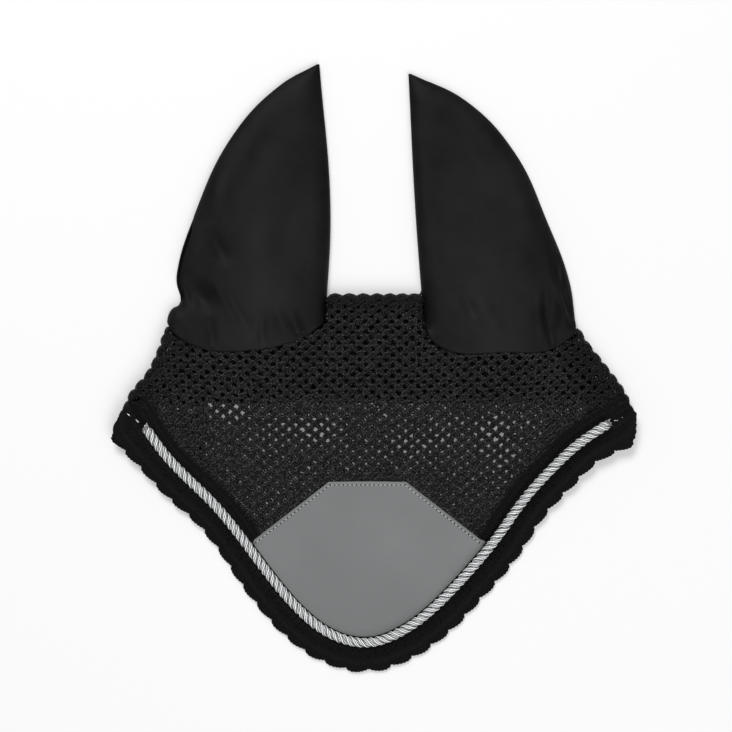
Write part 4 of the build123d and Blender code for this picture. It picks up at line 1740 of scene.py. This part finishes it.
class FLYVEIL_OT_patch(bpy.types.Operator):
    """Cuts the leather patch and sews it to the brow"""

    bl_idname = "fly_veil.patch"
    bl_label = "Leather Patch"

    def execute(self, context):
        colours = context.scene.fly_veil_colours
        leather = kept_material("patch_leather", leather_material, tuple(colours.patch))
        sewn, holes = stitches()
        self.make_leather(leather, holes)
        self.make_stitches(context, sewn, holes)
        return {"FINISHED"}

    def make_leather(self, leather, holes):
        """The leather sheet, cut to fit inside the cord."""
        bottom = patch_bottom()
        low_y = bottom[:, 1].min()
        top_y = PATCH_TOP_Y * MM
        rows = 110
        columns = 150
        share = np.linspace(0, 1, rows)
        eased = share + (0.5 - 0.5 * np.cos(pi * share) - share) * 0.55
        y = low_y + 0.05 * MM + (top_y - low_y - 0.05 * MM) * eased
        left, right = patch_sides(y, bottom)
        t = 0.5 - 0.5 * np.cos(np.linspace(0, pi, columns))
        t = 0.5 * t + 0.5 * np.linspace(0, 1, columns)
        x = left[:, None] + (right - left)[:, None] * t[None]
        bow = 0.2 * MM * share[:, None] ** 4 * np.sin(pi * t[None])
        places = np.stack([x, y[:, None] + bow], axis=2)
        edge = np.minimum(places[..., 0] - left[:, None], right[:, None] - places[..., 0])
        edge = np.minimum(edge * 0.62, top_y - places[..., 1])
        heights = self.leather_heights(places, edge, holes)
        patch = thick_piece("leather_patch", grid_mesh(places, heights), LEATHER, leather)
        declare(patch, "brow", "patch", "brow_patch")

    def leather_heights(self, places, edge, holes):
        """Heights of the leather, soft at its edge and drawn down by the stitches and their holes."""
        heights = brow_height(places[..., 1]) + CROCHET + 0.05 * MM
        for centre, _ in holes:
            gap = np.linalg.norm(places - centre, axis=2)
            heights -= 0.3 * MM * np.exp(-((gap / (1.1 * MM)) ** 2))
        inset = bpy.context.scene.fly_veil_sizes.stitch_inset
        upper = places[..., 1] > (PATCH_CORNER_Y - 4) * MM
        groove = np.exp(-(((edge - inset) / (1.0 * MM)) ** 2)) * upper
        heights -= 0.2 * MM * groove
        roll = np.exp(-((edge / (0.8 * MM)) ** 2)) * upper
        heights -= 0.85 * MM * roll
        return heights + 0.35 * MM * unevenness(places, 22, 22, 2.0)

    def make_stitches(self, context, sewn, holes):
        """Short stitches of pale thread that dive into needle holes at both ends, with dark marks in the
        holes as painted shadow.
        """
        colour = tuple(context.scene.fly_veil_colours.thread)
        twist = {"plies": 2, "lay": 1.4 * MM, "relief": 0.03 * MM, "contrast": 1.15, "gloss": 0.1}
        thread = kept_material("sewing_thread", yarn_material, colour, **twist)
        # painted shadow: a dark thread laid in each needle hole
        shadow = kept_material("needle_hole", yarn_material, (0.012, 0.012, 0.012), **twist)
        spots = np.array([-1.0, -0.85, -0.45, 0.0, 0.45, 0.85, 1.0]) * STITCH_REACH
        arch = np.array([-0.7, -0.12, 0.12, 0.18, 0.12, -0.12, -0.7]) * MM
        lines = [self.laid(place, spots, arch) for place in sewn]
        marks = [self.laid(place, np.array([-0.5, 0.0, 0.5]) * MM, -0.66 * MM) for place in holes]
        piece = yarn_piece("patch_stitches", lines, STITCH_THREAD, thread)
        hole_shadows = yarn_piece("hole_shadows", marks, HOLE_SHADOW, shadow)
        declare(piece, "brow", "patch_thread", "patch_stitching")
        declare(hole_shadows, "brow", "patch_thread")

    def laid(self, place, spots, height):
        """A short thread on the leather: spots along it, and its height above the stitches' groove."""
        centre, ahead = place
        flat = centre[None] + ahead[None] * spots[:, None]
        groove = brow_height(flat[:, 1]) + CROCHET + LEATHER - 0.15 * MM
        return np.column_stack([flat, groove + height])


# --- Stage --------------------------------------------------------------------

CAMERA_PLACE = (-4.55 * MM, 1.05 * MM, 1.4313)
LENS = 100
SENSOR = 36
TABLE_SIZE = 6
STUDIO_LIGHT = 0.3
LIGHTS = (  # name, size, power and place of each
    ("main_light", 1.2, 54.7, (-0.62, 1.8, 2.3)),
    ("fill_light", 2.2, 40.3, (0.8, -1.6, 2.2)),
)


class FLYVEIL_OT_stage(bpy.types.Operator):
    """Sets the table, the lights and the camera"""

    bl_idname = "fly_veil.stage"
    bl_label = "Stage"

    def execute(self, context):
        scene = context.scene
        self.make_table()
        self.make_world(scene)
        for light in LIGHTS:
            self.make_light(*light)
        data = bpy.data.cameras.new("camera")
        data.lens = LENS
        data.sensor_width = SENSOR
        camera = bpy.data.objects.new("camera", data)
        camera.location = CAMERA_PLACE
        scene.collection.objects.link(camera)
        scene.camera = camera
        scene.view_settings.view_transform = "Standard"
        return {"FINISHED"}

    def make_table(self):
        """A plain white table top, wide enough for every view."""
        shape = bmesh.new()
        bmesh.ops.create_grid(shape, x_segments=1, y_segments=1, size=TABLE_SIZE)
        mesh = bpy.data.meshes.new("table_top")
        shape.to_mesh(mesh)
        shape.free()
        table = add_object("table_top", mesh, kept_material("table_top", floor_material))

    def make_world(self, scene):
        """Even light from all round."""
        world = bpy.data.worlds.new("studio")
        world.use_nodes = True
        background = world.node_tree.nodes["Background"]
        background.inputs["Color"].default_value = (1, 1, 1, 1)
        background.inputs["Strength"].default_value = STUDIO_LIGHT
        scene.world = world

    def make_light(self, name, size, power, place):
        """A large soft light that looks at the veil."""
        data = bpy.data.lights.new(name, "AREA")
        data.size = size
        data.energy = power
        light = bpy.data.objects.new(name, data)
        light.location = place
        light.rotation_euler = (-Vector(place)).to_track_quat("-Z", "Y").to_euler()
        bpy.context.scene.collection.objects.link(light)


# --- Panel and registration ---------------------------------------------------

OPERATORS = (
    FLYVEIL_OT_face,
    FLYVEIL_OT_poll,
    FLYVEIL_OT_trim,
    FLYVEIL_OT_ears,
    FLYVEIL_OT_cord,
    FLYVEIL_OT_patch,
    FLYVEIL_OT_stage,
)


class FLYVEIL_PT_panel(bpy.types.Panel):
    """The fly veil's sizes, colours and pieces"""

    bl_idname = "FLYVEIL_PT_panel"
    bl_label = "Fly Veil"
    bl_space_type = "VIEW_3D"
    bl_region_type = "UI"
    bl_category = "Fly Veil"

    def draw(self, context):
        for group in (context.scene.fly_veil_sizes, context.scene.fly_veil_colours):
            box = self.layout.box()
            for name in group.__annotations__:
                box.prop(group, name)
        for operator in OPERATORS:
            self.layout.operator(operator.bl_idname)


CLASSES = (FlyVeilSizes, FlyVeilColours) + OPERATORS + (FLYVEIL_PT_panel,)


def register():
    for cls in CLASSES:
        bpy.utils.register_class(cls)
    bpy.types.Scene.fly_veil_sizes = PointerProperty(type=FlyVeilSizes)
    bpy.types.Scene.fly_veil_colours = PointerProperty(type=FlyVeilColours)


def unregister():
    del bpy.types.Scene.fly_veil_colours
    del bpy.types.Scene.fly_veil_sizes
    for cls in reversed(CLASSES):
        bpy.utils.unregister_class(cls)


def main():
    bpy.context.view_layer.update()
    register()
    bpy.ops.fly_veil.face()
    bpy.ops.fly_veil.poll()
    bpy.ops.fly_veil.trim()
    bpy.ops.fly_veil.ears()
    bpy.ops.fly_veil.cord()
    bpy.ops.fly_veil.patch()
    bpy.ops.fly_veil.stage()


if __name__ == "__main__":
    main()
